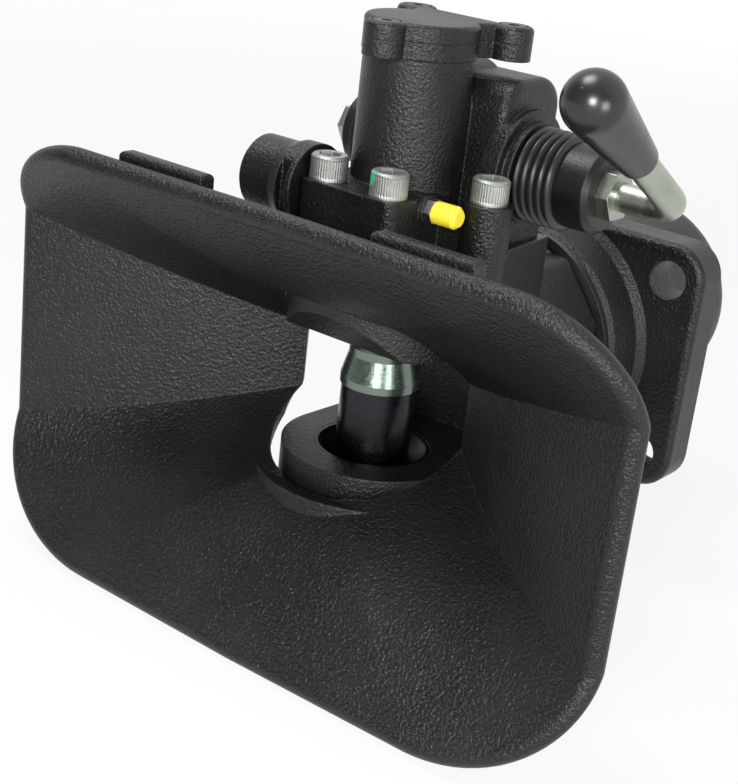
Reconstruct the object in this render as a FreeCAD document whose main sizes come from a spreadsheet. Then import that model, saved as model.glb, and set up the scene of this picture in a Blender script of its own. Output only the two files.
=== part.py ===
import FreeCAD, Part
import math
import os

import Sketcher
from FreeCAD import Vector

# Pin coupling for trailer drawbars, millimetres.
# The origin lies on the drawbar axis in the flange's rear face.
# X points right as seen from the funnel, Y back towards the vehicle, Z up.
# A reach is a distance in front of the flange face, a level is a height above the drawbar axis.

SIZES = [
    # Flange and its bearing
    ("flange_thick", 22),
    ("flange_corner", 19),
    ("flange_edge", 4),
    ("hole_span_wide", 160),
    ("hole_span_high", 100),
    ("hole_margin", 20),
    ("hole_diameter", 21),
    ("bell_root_radius", 75),
    ("bell_tip_radius", 67),
    ("bell_reach", 46),
    ("bell_edge", 4),
    ("hub_radius", 56),
    ("hub_length", 30),
    ("bush_wall", 4),
    ("bush_length", 28),
    ("running_fit", 0.05),
    ("cut_overrun", 1),
    ("cup_wall", 4),
    ("cup_seat", 3),
    ("cup_seat_lip", 0.5),
    ("cup_length", 119),
    ("cup_round", 22),
    ("seal_width", 5),
    ("seal_depth", 4),
    ("seal_gap", 0.4),
    # Shaft of the head and what holds it
    ("shaft_radius", 30),
    ("thread_radius", 24),
    ("thread_length", 40),
    ("collar_radius", 60),
    ("collar_length", 6),
    ("thrust_gap", 0.3),
    ("washer_radius", 48),
    ("washer_thick", 5),
    ("nut_flats", 72),
    ("nut_height", 28),
    ("castle_depth", 9),
    ("castle_slot", 7),
    ("split_pin_radius", 2.5),
    ("split_pin_overhang", 4),
    # Neck and fork of the head
    ("neck_top_half", 34),
    ("neck_top_level", 55),
    ("neck_side_half", 58),
    ("neck_side_level", 24),
    ("neck_edge", 6),
    ("pin_reach", 163),
    ("jaw_top_level", 27),
    ("jaw_bottom_level", -36),
    ("jaw_back_depth", 55),
    ("arm_root", 15),
    ("arm_rear_half", 44),
    ("upper_arm_thick", 49),
    ("lower_arm_thick", 42),
    ("nose_wall", 3.75),
    ("lower_nose_radius", 47),
    ("nose_lip_depth", 34),
    ("nose_lip_rise", 16),
    ("ear_radius", 12),
    ("ear_depth", 24),
    ("journal_radius", 38),
    ("journal_end", 4),
    ("clip_groove", 2),
    ("clip_thick", 3),
    ("clip_radius", 43),
    ("clip_gap", 0.5),
    # Pin and its bushes
    ("pin_radius", 20.3),
    ("pin_tip_radius", 19.3),
    ("pin_nose_radius", 13),
    ("pin_nose_length", 7),
    ("pin_bottom_level", -53),
    ("pin_step_level", -2),
    ("pin_barrel_level", 2),
    ("pin_waist_radius", 17.2),
    ("pin_waist_level", 14),
    ("pin_waist_length", 4),
    ("pin_guide_level", 27),
    ("pin_top_level", 86),
    ("upper_bush_radius", 26),
    ("lower_bush_radius", 30),
    ("lower_bush_depth", 32),
    ("dish_radius", 28),
    ("dish_depth", 9),
    ("tip_play", 0.3),
    ("drain_radius", 21),
    # Lever shaft and lifting arm
    ("lever_setback", 38.5),
    ("lever_level", 113.5),
    ("lever_shaft_radius", 11),
    ("lever_bush_wall", 3),
    ("lift_arm_length", 55),
    ("lift_arm_thick", 10),
    ("lift_tip_radius", 4),
    ("lift_hub_radius", 16),
    ("lift_closed_angle", 48),
    ("lift_side_play", 0.6),
    ("lift_window_play", 4.5),
    ("lift_slot_forward", -3),
    ("lift_slot_drop", 36),
    # Mechanism housing
    ("base_radius", 29),
    ("base_thick", 8),
    ("tower_radius", 26.5),
    ("tower_wall", 3.5),
    ("tower_level", 173),
    ("rib_half", 22),
    ("rib_level", 161),
    ("box_half", 42),
    ("box_front_depth", 21.5),
    ("box_rear_depth", 27.5),
    ("box_level", 157),
    ("box_round", 16),
    ("box_edge", 5),
    ("box_wall", 11),
    ("box_front_wall", 3),
    ("box_rear_wall", 6),
    ("box_cavity_half_height", 24),
    ("arm_slot_half_height", 36),
    ("boss_radius", 30),
    ("boss_length", 4),
    ("boss_collar_radius", 25),
    ("boss_collar_length", 4),
    ("left_boss_radius", 26),
    ("block_half", 28),
    ("block_margin", 1),
    ("block_level", 104),
    ("block_round", 5),
    ("column_radius", 12),
    ("left_column_level", 88),
    ("column_web_half", 7),
    ("column_web_drop", 8),
    # Bolts of the housing
    ("front_bolt_half_span", 18),
    ("front_bolt_offset", 36),
    ("side_bolt_half_span", 50),
    ("bolt_radius", 6),
    ("bolt_hole_play", 0.5),
    ("bolt_thread_depth", 18),
    ("bolt_head_radius", 9),
    ("bolt_head_height", 12),
    ("bolt_socket_flats", 10),
    ("bolt_socket_depth", 6),
    # Lid of the tower
    ("cover_thick", 8),
    ("cover_overlap", 1),
    ("cover_edge", 2.5),
    ("lobe_radius", 10),
    ("lobe_depth", 8),
    ("front_lobe_offset", 28),
    ("rear_lobe_setback", 34),
    ("rear_lobe_half_span", 28.5),
    ("screw_radius", 4),
    ("screw_play", 0.4),
    ("screw_head_radius", 6.5),
    ("screw_head_height", 5),
    ("screw_head_play", 0.6),
    ("screw_socket_flats", 5),
    ("screw_socket_depth", 3),
    # Grease nipple
    ("nipple_clearance", 0.5),
    ("nipple_level", 98),
    ("nipple_seat", 30),
    ("nipple_boss_radius", 7),
    ("nipple_thread_radius", 4),
    ("nipple_thread_length", 5),
    ("nipple_flats", 11),
    ("nipple_base_length", 4),
    ("nipple_stem_radius", 3),
    ("nipple_stem_length", 9),
    ("cap_radius", 5.5),
    ("cap_length", 13),
    ("cap_tip_radius", 3.9),
    ("cap_taper", 2),
    # Closing indicator at the left
    ("sleeve_clearance", 1.5),
    ("sleeve_level", 97.5),
    ("sleeve_end", 63),
    ("sleeve_root_radius", 20.5),
    ("sleeve_root_length", 9),
    ("sleeve_taper_length", 6),
    ("sleeve_end_radius", 18.5),
    ("sleeve_edge", 2),
    ("sleeve_slot_width", 6),
    ("sleeve_slot_height", 28),
    ("sleeve_slot_depth", 5),
    ("sleeve_slot_inset", 3),
    ("indicator_radius", 8),
    ("indicator_play", 0.3),
    ("indicator_length", 26),
    ("indicator_edge", 1),
    ("indicator_recess", 1),
    # Gaiter, hub and hand lever at the right
    ("gaiter_length", 22),
    ("gaiter_ribs", 5),
    ("gaiter_peak_radius", 23.5),
    ("gaiter_valley_radius", 19.5),
    ("gaiter_bore_play", 1),
    ("lever_gap", 0.4),
    ("lever_hub_length", 17.6),
    ("lever_hub_radius", 20.5),
    ("lever_hub_edge", 2.5),
    ("lever_root_flats", 22),
    ("lever_root_length", 7),
    ("rod_radius", 7),
    ("rod_offset", 128),
    ("rod_bend", 16),
    ("rod_angle", 31.5),
    ("rod_end", 100),
    ("grip_start", 58),
    ("grip_centre", 111),
    ("grip_neck_radius", 9),
    ("grip_ball_radius", 14),
    # Left end of the lever shaft
    ("left_collar_radius", 20),
    ("left_collar_length", 10.6),
    ("left_collar_edge", 2),
    ("left_bolt_flats", 19),
    ("left_bolt_height", 9),
    ("left_bolt_radius", 6),
    ("left_bolt_depth", 16),
    # Leg spring
    ("spring_radius", 15.5),
    ("spring_wire_radius", 2),
    ("spring_turns", 3),
    ("spring_pitch", 5),
    ("spring_end_play", 0.3),
    # Funnel
    ("mouth_half_width", 177),
    ("mouth_top_level", 92),
    ("mouth_bottom_level", -116),
    ("mouth_side_depth", 78),
    ("upper_lip_depth", 99),
    ("lower_lip_depth", 101),
    ("upper_corner_wide", 52),
    ("upper_corner_high", 38),
    ("lower_corner_wide", 72),
    ("lower_corner_high", 58),
    ("throat_gap", 2),
    ("throat_top_level", 46),
    ("throat_bottom_level", -43),
    ("throat_corner_wide", 32),
    ("throat_corner_top", 33),
    ("throat_corner_bottom", 22),
    ("throat_trim", 3),
    ("funnel_wall", 8),
    ("funnel_bead", 11),
    ("funnel_flare", 13),
    ("eye_wall", 18),
    ("eye_thick", 15),
    ("eye_play", 0.4),
    ("skirt_wall", 8),
    ("skirt_half_angle", 55),
    ("lug_inner", 50),
    ("lug_outer", 104),
    ("lug_depth", 9),
    ("lug_height", 18),
    ("lug_level", 104),
    ("lug_setback", 10),
    ("lug_round", 2.7),
]

# Sizes that follow from others
FOLLOWING = [
    ("flange_width", "hole_span_wide + 2 * hole_margin"),
    ("flange_height", "hole_span_high + 2 * hole_margin"),
    ("lever_reach", "pin_reach - lever_setback"),
    ("box_front_reach", "lever_reach + box_front_depth"),
    ("box_rear_reach", "lever_reach - box_rear_depth"),
    ("box_cavity_front", "box_front_reach - box_front_wall"),
    ("box_cavity_rear", "box_rear_reach + box_rear_wall"),
    ("arm_rear_reach", "pin_reach - jaw_back_depth - arm_root"),
    ("front_bolt_reach", "pin_reach + front_bolt_offset"),
    ("front_bolt_circle", "sqrt(front_bolt_half_span ^ 2 + front_bolt_offset ^ 2)"),
    ("block_reach", "front_bolt_reach + bolt_head_radius + block_margin"),
    ("upper_nose_radius", "front_bolt_circle + bolt_radius + nose_wall"),
    ("front_lobe_reach", "pin_reach + front_lobe_offset"),
    ("rear_lobe_reach", "pin_reach - rear_lobe_setback"),
    ("nipple_reach", "pin_reach + column_radius + cap_radius + nipple_clearance"),
    ("sleeve_reach", "pin_reach + column_radius + sleeve_end_radius + sleeve_clearance"),
    ("mouth_side_reach", "pin_reach + mouth_side_depth"),
    ("upper_lip_reach", "pin_reach + upper_lip_depth"),
    ("lower_lip_reach", "pin_reach + lower_lip_depth"),
    ("throat_radius", "upper_nose_radius + throat_gap"),
    ("cup_radius", "hub_radius + cup_wall"),
]

document = FreeCAD.newDocument("pin_coupling")
sheet = document.addObject("Spreadsheet::Sheet", "Sizes")
formulas = [(alias, f"={formula}") for alias, formula in FOLLOWING]
for row, (alias, content) in enumerate(SIZES + formulas, 1):
    sheet.set(f"A{row}", alias)
    sheet.set(f"B{row}", str(content))
    sheet.setAlias(f"B{row}", alias)
document.recompute()

# Places and levels that several pieces share
PIN_Y = "-Sizes.pin_reach"
LEVER_Y = "-Sizes.lever_reach"
LEVER_Z = "Sizes.lever_level"
ARM_TOP = "(Sizes.jaw_top_level + Sizes.upper_arm_thick)"
ARM_UNDER = "(Sizes.jaw_bottom_level - Sizes.lower_arm_thick)"
WINDOW_Z = "(Sizes.lever_level - Sizes.lift_arm_length * sin(Sizes.lift_closed_angle))"
BEARING_RADIUS = "(Sizes.shaft_radius + Sizes.running_fit + Sizes.bush_wall)"
LEVER_BORE = "(Sizes.lever_shaft_radius + Sizes.running_fit + Sizes.lever_bush_wall)"
NUT_Y = "(Sizes.hub_length + Sizes.thrust_gap + Sizes.washer_thick)"
SPLIT_Y = f"({NUT_Y} + Sizes.nut_height - Sizes.castle_depth / 2)"
EYE_TOP = f"({ARM_UNDER} - Sizes.thrust_gap)"
CLIP_TOP = f"({EYE_TOP} - Sizes.eye_thick - Sizes.clip_gap)"
GAITER_X = "(Sizes.box_half + Sizes.boss_length + Sizes.boss_collar_length)"
HUB_X = f"({GAITER_X} + Sizes.gaiter_length + Sizes.lever_gap)"
LEVER_FACE_X = f"({HUB_X} + Sizes.lever_hub_length)"
LEFT_COLLAR_X = "(-Sizes.box_half - Sizes.boss_length - Sizes.lever_gap)"
LEFT_FACE_X = f"({LEFT_COLLAR_X} - Sizes.left_collar_length)"
SLEEVE_X = "-Sizes.block_half"
COVER_TOP = "(Sizes.tower_level + Sizes.cover_thick)"
LOBES = [
    ("0", "-Sizes.front_lobe_reach"),
    ("Sizes.rear_lobe_half_span", "-Sizes.rear_lobe_reach"),
    ("-Sizes.rear_lobe_half_span", "-Sizes.rear_lobe_reach"),
]
BOLTS = [
    ("Sizes.front_bolt_half_span", "-Sizes.front_bolt_reach", "Sizes.block_level"),
    ("-Sizes.front_bolt_half_span", "-Sizes.front_bolt_reach", "Sizes.block_level"),
    ("Sizes.side_bolt_half_span", PIN_Y, "Sizes.block_level"),
    ("-Sizes.side_bolt_half_span", PIN_Y, "Sizes.left_column_level"),
]

nodes = {}


def size(alias):
    return float(sheet.get(alias))


# Building blocks


def new_body(label, x="0", y="0", z="0"):
    body = document.addObject("PartDesign::Body", label)
    nodes[label] = body
    place(body, x, y, z)
    return body


def place(item, x, y, z):
    for axis, expression in zip("xyz", (x, y, z)):
        item.setExpression(f"Placement.Base.{axis}", expression)


def new_sketch(body, name, role, offset="0"):
    """Sketch on an origin plane; an XZ sketch's offset counts towards the front."""
    sketch = body.newObject("Sketcher::SketchObject", name)
    origin_plane = next(item for item in body.Origin.OriginFeatures if item.Role == role)
    sketch.AttachmentSupport = (origin_plane, [""])
    sketch.MapMode = "FlatFace"
    sketch.setExpression("AttachmentOffset.Base.z", offset)
    return sketch


def bind(sketch, constraint, expression):
    index = sketch.addConstraint(constraint)
    sketch.setExpression(f"Constraints[{index}]", expression)


def outline(sketch, corners):
    """Closed straight-sided outline whose corners are pairs of expressions."""
    count = len(corners)
    first = sketch.GeometryCount
    turn = 2 * math.pi / count
    start = [Vector(math.cos(turn * i), math.sin(turn * i), 0) for i in range(count)]
    for i in range(count):
        sketch.addGeometry(Part.LineSegment(start[i], start[(i + 1) % count]), False)
    for i in range(count):
        following = first + (i + 1) % count
        sketch.addConstraint(Sketcher.Constraint("Coincident", first + i, 2, following, 1))
    for i, (across, along) in enumerate(corners):
        bind(sketch, Sketcher.Constraint("DistanceX", -1, 1, first + i, 1, 1.0), across)
        bind(sketch, Sketcher.Constraint("DistanceY", -1, 1, first + i, 1, 1.0), along)


def box_outline(sketch, left, low, right, high):
    outline(sketch, [(left, low), (right, low), (right, high), (left, high)])


def circle(sketch, across, along, radius):
    index = sketch.addGeometry(Part.Circle(Vector(0, 0, 0), Vector(0, 0, 1), 1.0), False)
    bind(sketch, Sketcher.Constraint("DistanceX", -1, 1, index, 3, 1.0), across)
    bind(sketch, Sketcher.Constraint("DistanceY", -1, 1, index, 3, 1.0), along)
    bind(sketch, Sketcher.Constraint("Radius", index, 1.0), radius)


def hexagon(sketch, flats):
    """Regular hexagon about the sketch's origin, with two corners on its across axis."""
    half = f"{flats} / 2"
    corner = f"{flats} / sqrt(3)"
    outline(sketch, [
        (corner, "0"),
        (f"{corner} / 2", half),
        (f"-{corner} / 2", half),
        (f"-{corner}", "0"),
        (f"-{corner} / 2", f"-{half}"),
        (f"{corner} / 2", f"-{half}"),
    ])


def feature(body, kind, name, sketch):
    item = body.newObject(f"PartDesign::{kind}", name)
    item.Profile = sketch
    sketch.Visibility = False
    return item


def pad(body, name, sketch, length, symmetric=False):
    item = feature(body, "Pad", name, sketch)
    item.SideType = "Symmetric" if symmetric else "One side"
    item.setExpression("Length", length)
    return item


def pocket(body, name, sketch, length=None, symmetric=False, forward=False):
    """Cut against the sketch's normal, or along it where forward is set."""
    item = feature(body, "Pocket", name, sketch)
    item.SideType = "Symmetric" if symmetric else "One side"
    item.Reversed = forward
    if length is None:
        item.Type = "ThroughAll"
    else:
        item.setExpression("Length", length)
    return item


def revolve(body, name, sketch, axis, kind="Revolution"):
    item = feature(body, kind, name, sketch)
    item.ReferenceAxis = (sketch, [axis])
    item.Angle = 360
    return item


def turn_profile(body, name, axis, corners, kind="Revolution"):
    """Revolve corners given as (along the axis, radius) about the body's X, Y or Z axis."""
    if axis == "X":
        sketch = new_sketch(body, f"{name}_profile", "XY_Plane")
        outline(sketch, corners)
        return revolve(body, name, sketch, "H_Axis", kind)
    sketch = new_sketch(body, f"{name}_profile", "XY_Plane" if axis == "Y" else "XZ_Plane")
    outline(sketch, [(radius, along) for along, radius in corners])
    return revolve(body, name, sketch, "V_Axis", kind)


def turned(label, axis, corners, x="0", y="0", z="0"):
    body = new_body(label, x, y, z)
    turn_profile(body, f"{label}_turn", axis, corners)
    return body


def tube(label, axis, start, end, inner, outer, x="0", y="0", z="0"):
    corners = [(start, inner), (end, inner), (end, outer), (start, outer)]
    return turned(label, axis, corners, x, y, z)


def dress(body, kind, name, base, radius, chosen):
    """Fillet or Chamfer on the base feature's edges that the test picks."""
    document.recompute()
    picked = [f"Edge{i}" for i, edge in enumerate(base.Shape.Edges, 1) if chosen(edge)]
    item = body.newObject(f"PartDesign::{kind}", name)
    item.Base = (base, picked)
    item.setExpression("Radius" if kind == "Fillet" else "Size", radius)
    return item


def along(edge, axis):
    """True for a straight edge that runs along the axis."""
    if not isinstance(edge.Curve, Part.Line):
        return False
    return abs(getattr(edge.Curve.Direction, axis)) > 0.999


def at(edge, axis, level):
    """True for an edge that lies wholly at a level of the axis."""
    box = edge.BoundBox
    low = getattr(box, f"{axis.upper()}Min")
    high = getattr(box, f"{axis.upper()}Max")
    return abs(low - level) < 0.01 and abs(high - level) < 0.01


def group(label, members):
    """Separate solids of one kind that share a node."""
    compound = document.addObject("Part::Compound", label)
    compound.Links = members
    nodes[label] = compound


# Flange side


def build_flange_housing():
    body = new_body("flange_housing")
    sketch = new_sketch(body, "plate_profile", "XZ_Plane")
    half_width = "Sizes.flange_width / 2"
    half_height = "Sizes.flange_height / 2"
    box_outline(sketch, f"-{half_width}", f"-{half_height}", half_width, half_height)
    plate = pad(body, "plate", sketch, "Sizes.flange_thick")
    corners = dress(body, "Fillet", "plate_corners", plate, "Sizes.flange_corner",
                    lambda edge: along(edge, "y"))
    front = -size("flange_thick")
    dress(body, "Fillet", "plate_edge", corners, "Sizes.flange_edge",
          lambda edge: at(edge, "y", front))
    turn_profile(body, "bell", "Y", [
        ("0", "0"),
        ("-Sizes.bell_reach", "0"),
        ("-Sizes.bell_reach", "Sizes.bell_tip_radius - Sizes.bell_edge"),
        ("-Sizes.bell_reach + Sizes.bell_edge", "Sizes.bell_tip_radius"),
        ("-Sizes.flange_thick - Sizes.bell_edge", "Sizes.bell_root_radius - Sizes.bell_edge"),
        ("-Sizes.flange_thick", "Sizes.bell_root_radius"),
        ("0", "Sizes.bell_root_radius"),
    ])
    turn_profile(body, "hub", "Y", [
        ("-Sizes.flange_thick / 2", "0"),
        ("Sizes.hub_length", "0"),
        ("Sizes.hub_length", "Sizes.hub_radius"),
        ("Sizes.cup_seat", "Sizes.hub_radius"),
        ("Sizes.cup_seat", "Sizes.cup_radius + Sizes.cup_seat_lip"),
        ("-Sizes.flange_thick / 2", "Sizes.cup_radius + Sizes.cup_seat_lip"),
    ])
    bore = new_sketch(body, "bearing_bore_profile", "XZ_Plane", "Sizes.bell_reach")
    circle(bore, "0", "0", BEARING_RADIUS)
    pocket(body, "bearing_bore", bore)
    holes = new_sketch(body, "bolt_hole_profile", "XZ_Plane", "Sizes.flange_thick")
    for side in ("", "-"):
        for end in ("", "-"):
            circle(holes, f"{side}Sizes.hole_span_wide / 2", f"{end}Sizes.hole_span_high / 2",
                   "Sizes.hole_diameter / 2")
    pocket(body, "bolt_holes", holes)


def build_flange_fittings():
    inner = "Sizes.shaft_radius + Sizes.running_fit"
    front = "-Sizes.bell_reach"
    tube("front_bush", "Y", front, f"{front} + Sizes.bush_length", inner, BEARING_RADIUS)
    rear = "Sizes.hub_length"
    tube("rear_bush", "Y", f"{rear} - Sizes.bush_length", rear, inner, BEARING_RADIUS)
    seal_bore = "Sizes.collar_radius + Sizes.seal_gap"
    tube("dust_seal", "Y", f"{front} - Sizes.seal_depth", front, seal_bore,
         f"{seal_bore} + Sizes.seal_width")
    cup = turned("rear_cup", "Y", [
        ("Sizes.cup_seat", "Sizes.hub_radius"),
        ("Sizes.cup_length - Sizes.cup_wall", "Sizes.hub_radius"),
        ("Sizes.cup_length - Sizes.cup_wall", "0"),
        ("Sizes.cup_length", "0"),
        ("Sizes.cup_length", "Sizes.cup_radius"),
        ("Sizes.cup_seat", "Sizes.cup_radius"),
    ])
    outer_end = size("cup_length")
    inner_end = outer_end - size("cup_wall")
    rounded = dress(cup, "Fillet", "cup_outer_round", cup.Tip, "Sizes.cup_round",
                    lambda edge: at(edge, "y", outer_end))
    dress(cup, "Fillet", "cup_inner_round", rounded, "Sizes.cup_round - Sizes.cup_wall",
          lambda edge: at(edge, "y", inner_end))


# Head: shaft, neck and fork


def build_coupling_head():
    body = new_body("coupling_head")
    collar_y = "-Sizes.bell_reach - Sizes.thrust_gap"
    neck_reach = "(Sizes.bell_reach + Sizes.thrust_gap + Sizes.collar_length)"
    neck = new_sketch(body, "neck_profile", "XZ_Plane", neck_reach)
    outline(neck, [
        ("Sizes.neck_top_half", "Sizes.neck_top_level"),
        ("Sizes.neck_side_half", "Sizes.neck_side_level"),
        ("Sizes.neck_side_half", "-Sizes.neck_side_level"),
        ("Sizes.neck_top_half", "-Sizes.neck_top_level"),
        ("-Sizes.neck_top_half", "-Sizes.neck_top_level"),
        ("-Sizes.neck_side_half", "-Sizes.neck_side_level"),
        ("-Sizes.neck_side_half", "Sizes.neck_side_level"),
        ("-Sizes.neck_top_half", "Sizes.neck_top_level"),
    ])
    block = pad(body, "neck", neck, f"Sizes.pin_reach - Sizes.jaw_back_depth - {neck_reach}")
    dress(body, "Fillet", "neck_edges", block, "Sizes.neck_edge", lambda edge: along(edge, "y"))
    turn_profile(body, "shaft", "Y", [
        (f"-{neck_reach} - Sizes.collar_length", "0"),
        (f"{NUT_Y} + Sizes.thread_length", "0"),
        (f"{NUT_Y} + Sizes.thread_length", "Sizes.thread_radius"),
        (NUT_Y, "Sizes.thread_radius"),
        (NUT_Y, "Sizes.shaft_radius"),
        (collar_y, "Sizes.shaft_radius"),
        (collar_y, "Sizes.collar_radius"),
        (f"-{neck_reach}", "Sizes.collar_radius"),
        (f"-{neck_reach} - Sizes.collar_length", "Sizes.neck_top_level"),
    ])
    arms = [
        ("upper", "Sizes.jaw_top_level", "Sizes.upper_arm_thick", "Sizes.upper_nose_radius"),
        ("lower", ARM_UNDER, "Sizes.lower_arm_thick", "Sizes.lower_nose_radius"),
    ]
    for name, level, thick, nose in arms:
        plan = new_sketch(body, f"{name}_arm_profile", "XY_Plane", level)
        outline(plan, [
            (nose, PIN_Y),
            ("Sizes.arm_rear_half", "-Sizes.arm_rear_reach"),
            ("-Sizes.arm_rear_half", "-Sizes.arm_rear_reach"),
            (f"-{nose}", PIN_Y),
        ])
        pad(body, f"{name}_arm", plan, thick)
        end = new_sketch(body, f"{name}_nose_profile", "XY_Plane", level)
        circle(end, "0", PIN_Y, nose)
        pad(body, f"{name}_nose", end, thick)
    lip = new_sketch(body, "nose_lip_profile", "YZ_Plane")
    outline(lip, [
        (f"{PIN_Y} - Sizes.nose_lip_depth", "Sizes.jaw_top_level"),
        (f"{PIN_Y} - Sizes.upper_nose_radius", "Sizes.jaw_top_level + Sizes.nose_lip_rise"),
        (f"{PIN_Y} - Sizes.upper_nose_radius - Sizes.cut_overrun",
         "Sizes.jaw_top_level + Sizes.nose_lip_rise"),
        (f"{PIN_Y} - Sizes.upper_nose_radius - Sizes.cut_overrun", "Sizes.jaw_top_level"),
    ])
    pocket(body, "nose_lip", lip, "3 * Sizes.upper_nose_radius", symmetric=True)
    ears = new_sketch(body, "ear_profile", "XY_Plane", f"{ARM_TOP} - Sizes.ear_depth")
    for side in ("", "-"):
        circle(ears, f"{side}Sizes.side_bolt_half_span", PIN_Y, "Sizes.ear_radius")
    pad(body, "ears", ears, "Sizes.ear_depth")
    groove_end = f"({CLIP_TOP} - Sizes.clip_thick)"
    steps = [
        ("journal", CLIP_TOP, ARM_UNDER, "Sizes.journal_radius"),
        ("clip_seat", groove_end, CLIP_TOP, "Sizes.journal_radius - Sizes.clip_groove"),
        ("journal_lip", f"{groove_end} - Sizes.journal_end", groove_end, "Sizes.journal_radius"),
    ]
    for name, low, high, radius in steps:
        step = new_sketch(body, f"{name}_profile", "XY_Plane", low)
        circle(step, "0", PIN_Y, radius)
        pad(body, name, step, f"{high} - ({low})")
    bores = [
        ("upper_bore", ARM_TOP, "Sizes.upper_arm_thick", "Sizes.upper_bush_radius"),
        ("lower_bore", "Sizes.jaw_bottom_level", "Sizes.lower_bush_depth",
         "Sizes.lower_bush_radius"),
        ("drain", "Sizes.jaw_bottom_level", None, "Sizes.drain_radius"),
    ]
    for name, level, depth, radius in bores:
        bore = new_sketch(body, f"{name}_profile", "XY_Plane", level)
        circle(bore, "0", PIN_Y, radius)
        pocket(body, name, bore, depth)
    threads = new_sketch(body, "bolt_thread_profile", "XY_Plane", ARM_TOP)
    for x, y, level in BOLTS:
        circle(threads, x, y, "Sizes.bolt_radius")
    pocket(body, "bolt_threads", threads, "Sizes.bolt_thread_depth")
    cross = new_sketch(body, "split_hole_profile", "YZ_Plane")
    circle(cross, SPLIT_Y, "0", "Sizes.split_pin_radius")
    pocket(body, "split_hole", cross, "3 * Sizes.thread_radius", symmetric=True)


def build_shaft_holders():
    start = "Sizes.hub_length + Sizes.thrust_gap"
    tube("thrust_washer", "Y", start, NUT_Y, "Sizes.shaft_radius", "Sizes.washer_radius")
    nut = new_body("castle_nut")
    flats = new_sketch(nut, "nut_profile", "XZ_Plane", f"-{NUT_Y} - Sizes.nut_height")
    hexagon(flats, "Sizes.nut_flats")
    circle(flats, "0", "0", "Sizes.thread_radius")
    pad(nut, "nut_block", flats, "Sizes.nut_height")
    for i, angle in enumerate((0, 60, 120)):
        slot = new_sketch(nut, f"castle_profile_{i}", "XZ_Plane", f"-{NUT_Y} - Sizes.nut_height")
        slot.AttachmentOffset = FreeCAD.Placement(Vector(), FreeCAD.Rotation(angle, 0, 0))
        box_outline(slot, "-Sizes.nut_flats", "-Sizes.castle_slot / 2", "Sizes.nut_flats",
                    "Sizes.castle_slot / 2")
        pocket(nut, f"castle_{i}", slot, "Sizes.castle_depth", forward=True)
    reach = "(Sizes.nut_flats / sqrt(3) + Sizes.split_pin_overhang)"
    turned("split_pin", "X", [
        (f"-{reach}", "0"),
        (reach, "0"),
        (reach, "Sizes.split_pin_radius"),
        (f"-{reach}", "Sizes.split_pin_radius"),
    ], y=SPLIT_Y)


# Pin, bushes and the ring that holds the funnel


def build_pin_set():
    guide = "Sizes.pin_radius + Sizes.running_fit"
    tube("upper_bush", "Z", "Sizes.jaw_top_level", ARM_TOP, guide, "Sizes.upper_bush_radius",
         y=PIN_Y)
    seat = "(Sizes.pin_tip_radius + Sizes.tip_play)"
    low = "(Sizes.jaw_bottom_level - Sizes.lower_bush_depth)"
    turned("lower_bush", "Z", [
        (low, seat),
        ("Sizes.jaw_bottom_level - Sizes.dish_depth", seat),
        ("Sizes.jaw_bottom_level", "Sizes.dish_radius"),
        ("Sizes.jaw_bottom_level", "Sizes.lower_bush_radius"),
        (low, "Sizes.lower_bush_radius"),
    ], y=PIN_Y)
    tube("funnel_circlip", "Z", f"{CLIP_TOP} - Sizes.clip_thick", CLIP_TOP,
         "Sizes.journal_radius - Sizes.clip_groove", "Sizes.clip_radius", y=PIN_Y)
    pin = turned("coupling_pin", "Z", [
        ("Sizes.pin_bottom_level", "0"),
        ("Sizes.pin_bottom_level", "Sizes.pin_nose_radius"),
        ("Sizes.pin_bottom_level + Sizes.pin_nose_length", "Sizes.pin_tip_radius"),
        ("Sizes.pin_step_level", "Sizes.pin_tip_radius"),
        ("Sizes.pin_step_level", "Sizes.pin_radius"),
        ("Sizes.pin_barrel_level", "Sizes.pin_radius"),
        ("Sizes.pin_waist_level", "Sizes.pin_waist_radius"),
        ("Sizes.pin_waist_level + Sizes.pin_waist_length", "Sizes.pin_waist_radius"),
        ("Sizes.pin_guide_level", "Sizes.pin_radius"),
        ("Sizes.pin_top_level", "Sizes.pin_radius"),
        ("Sizes.pin_top_level", "0"),
    ], y=PIN_Y)
    half_slot = "Sizes.lift_arm_thick / 2 + Sizes.lift_side_play"
    opening = "Sizes.lift_tip_radius + Sizes.lift_window_play"
    window = new_sketch(pin, "lift_window_profile", "XZ_Plane")
    box_outline(window, f"-({half_slot})", f"{WINDOW_Z} - ({opening})", half_slot,
                f"{WINDOW_Z} + {opening}")
    pocket(pin, "lift_window", window, "3 * Sizes.pin_radius", symmetric=True)
    slot = new_sketch(pin, "lift_slot_profile", "YZ_Plane")
    box_outline(slot, "Sizes.lift_slot_forward", f"{WINDOW_Z} - Sizes.lift_slot_drop",
                "2 * Sizes.pin_radius", "Sizes.pin_top_level + Sizes.cut_overrun")
    pocket(pin, "lift_slot", slot, f"2 * ({half_slot})", symmetric=True)


# Mechanism housing and lid


def lobed_outline(body, name, level, height):
    """Lid shape: a disc over the tower and three screw lobes."""
    disc = new_sketch(body, f"{name}_disc_profile", "XY_Plane", level)
    circle(disc, "0", PIN_Y, "Sizes.tower_radius + Sizes.cover_overlap")
    pad(body, f"{name}_disc", disc, height)
    web = new_sketch(body, f"{name}_web_profile", "XY_Plane", level)
    outline(web, LOBES)
    pad(body, f"{name}_web", web, height)
    for i, (x, y) in enumerate(LOBES):
        lobe = new_sketch(body, f"{name}_lobe_profile_{i}", "XY_Plane", level)
        circle(lobe, x, y, "Sizes.lobe_radius")
        last = pad(body, f"{name}_lobe_{i}", lobe, height)
    return last


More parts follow.
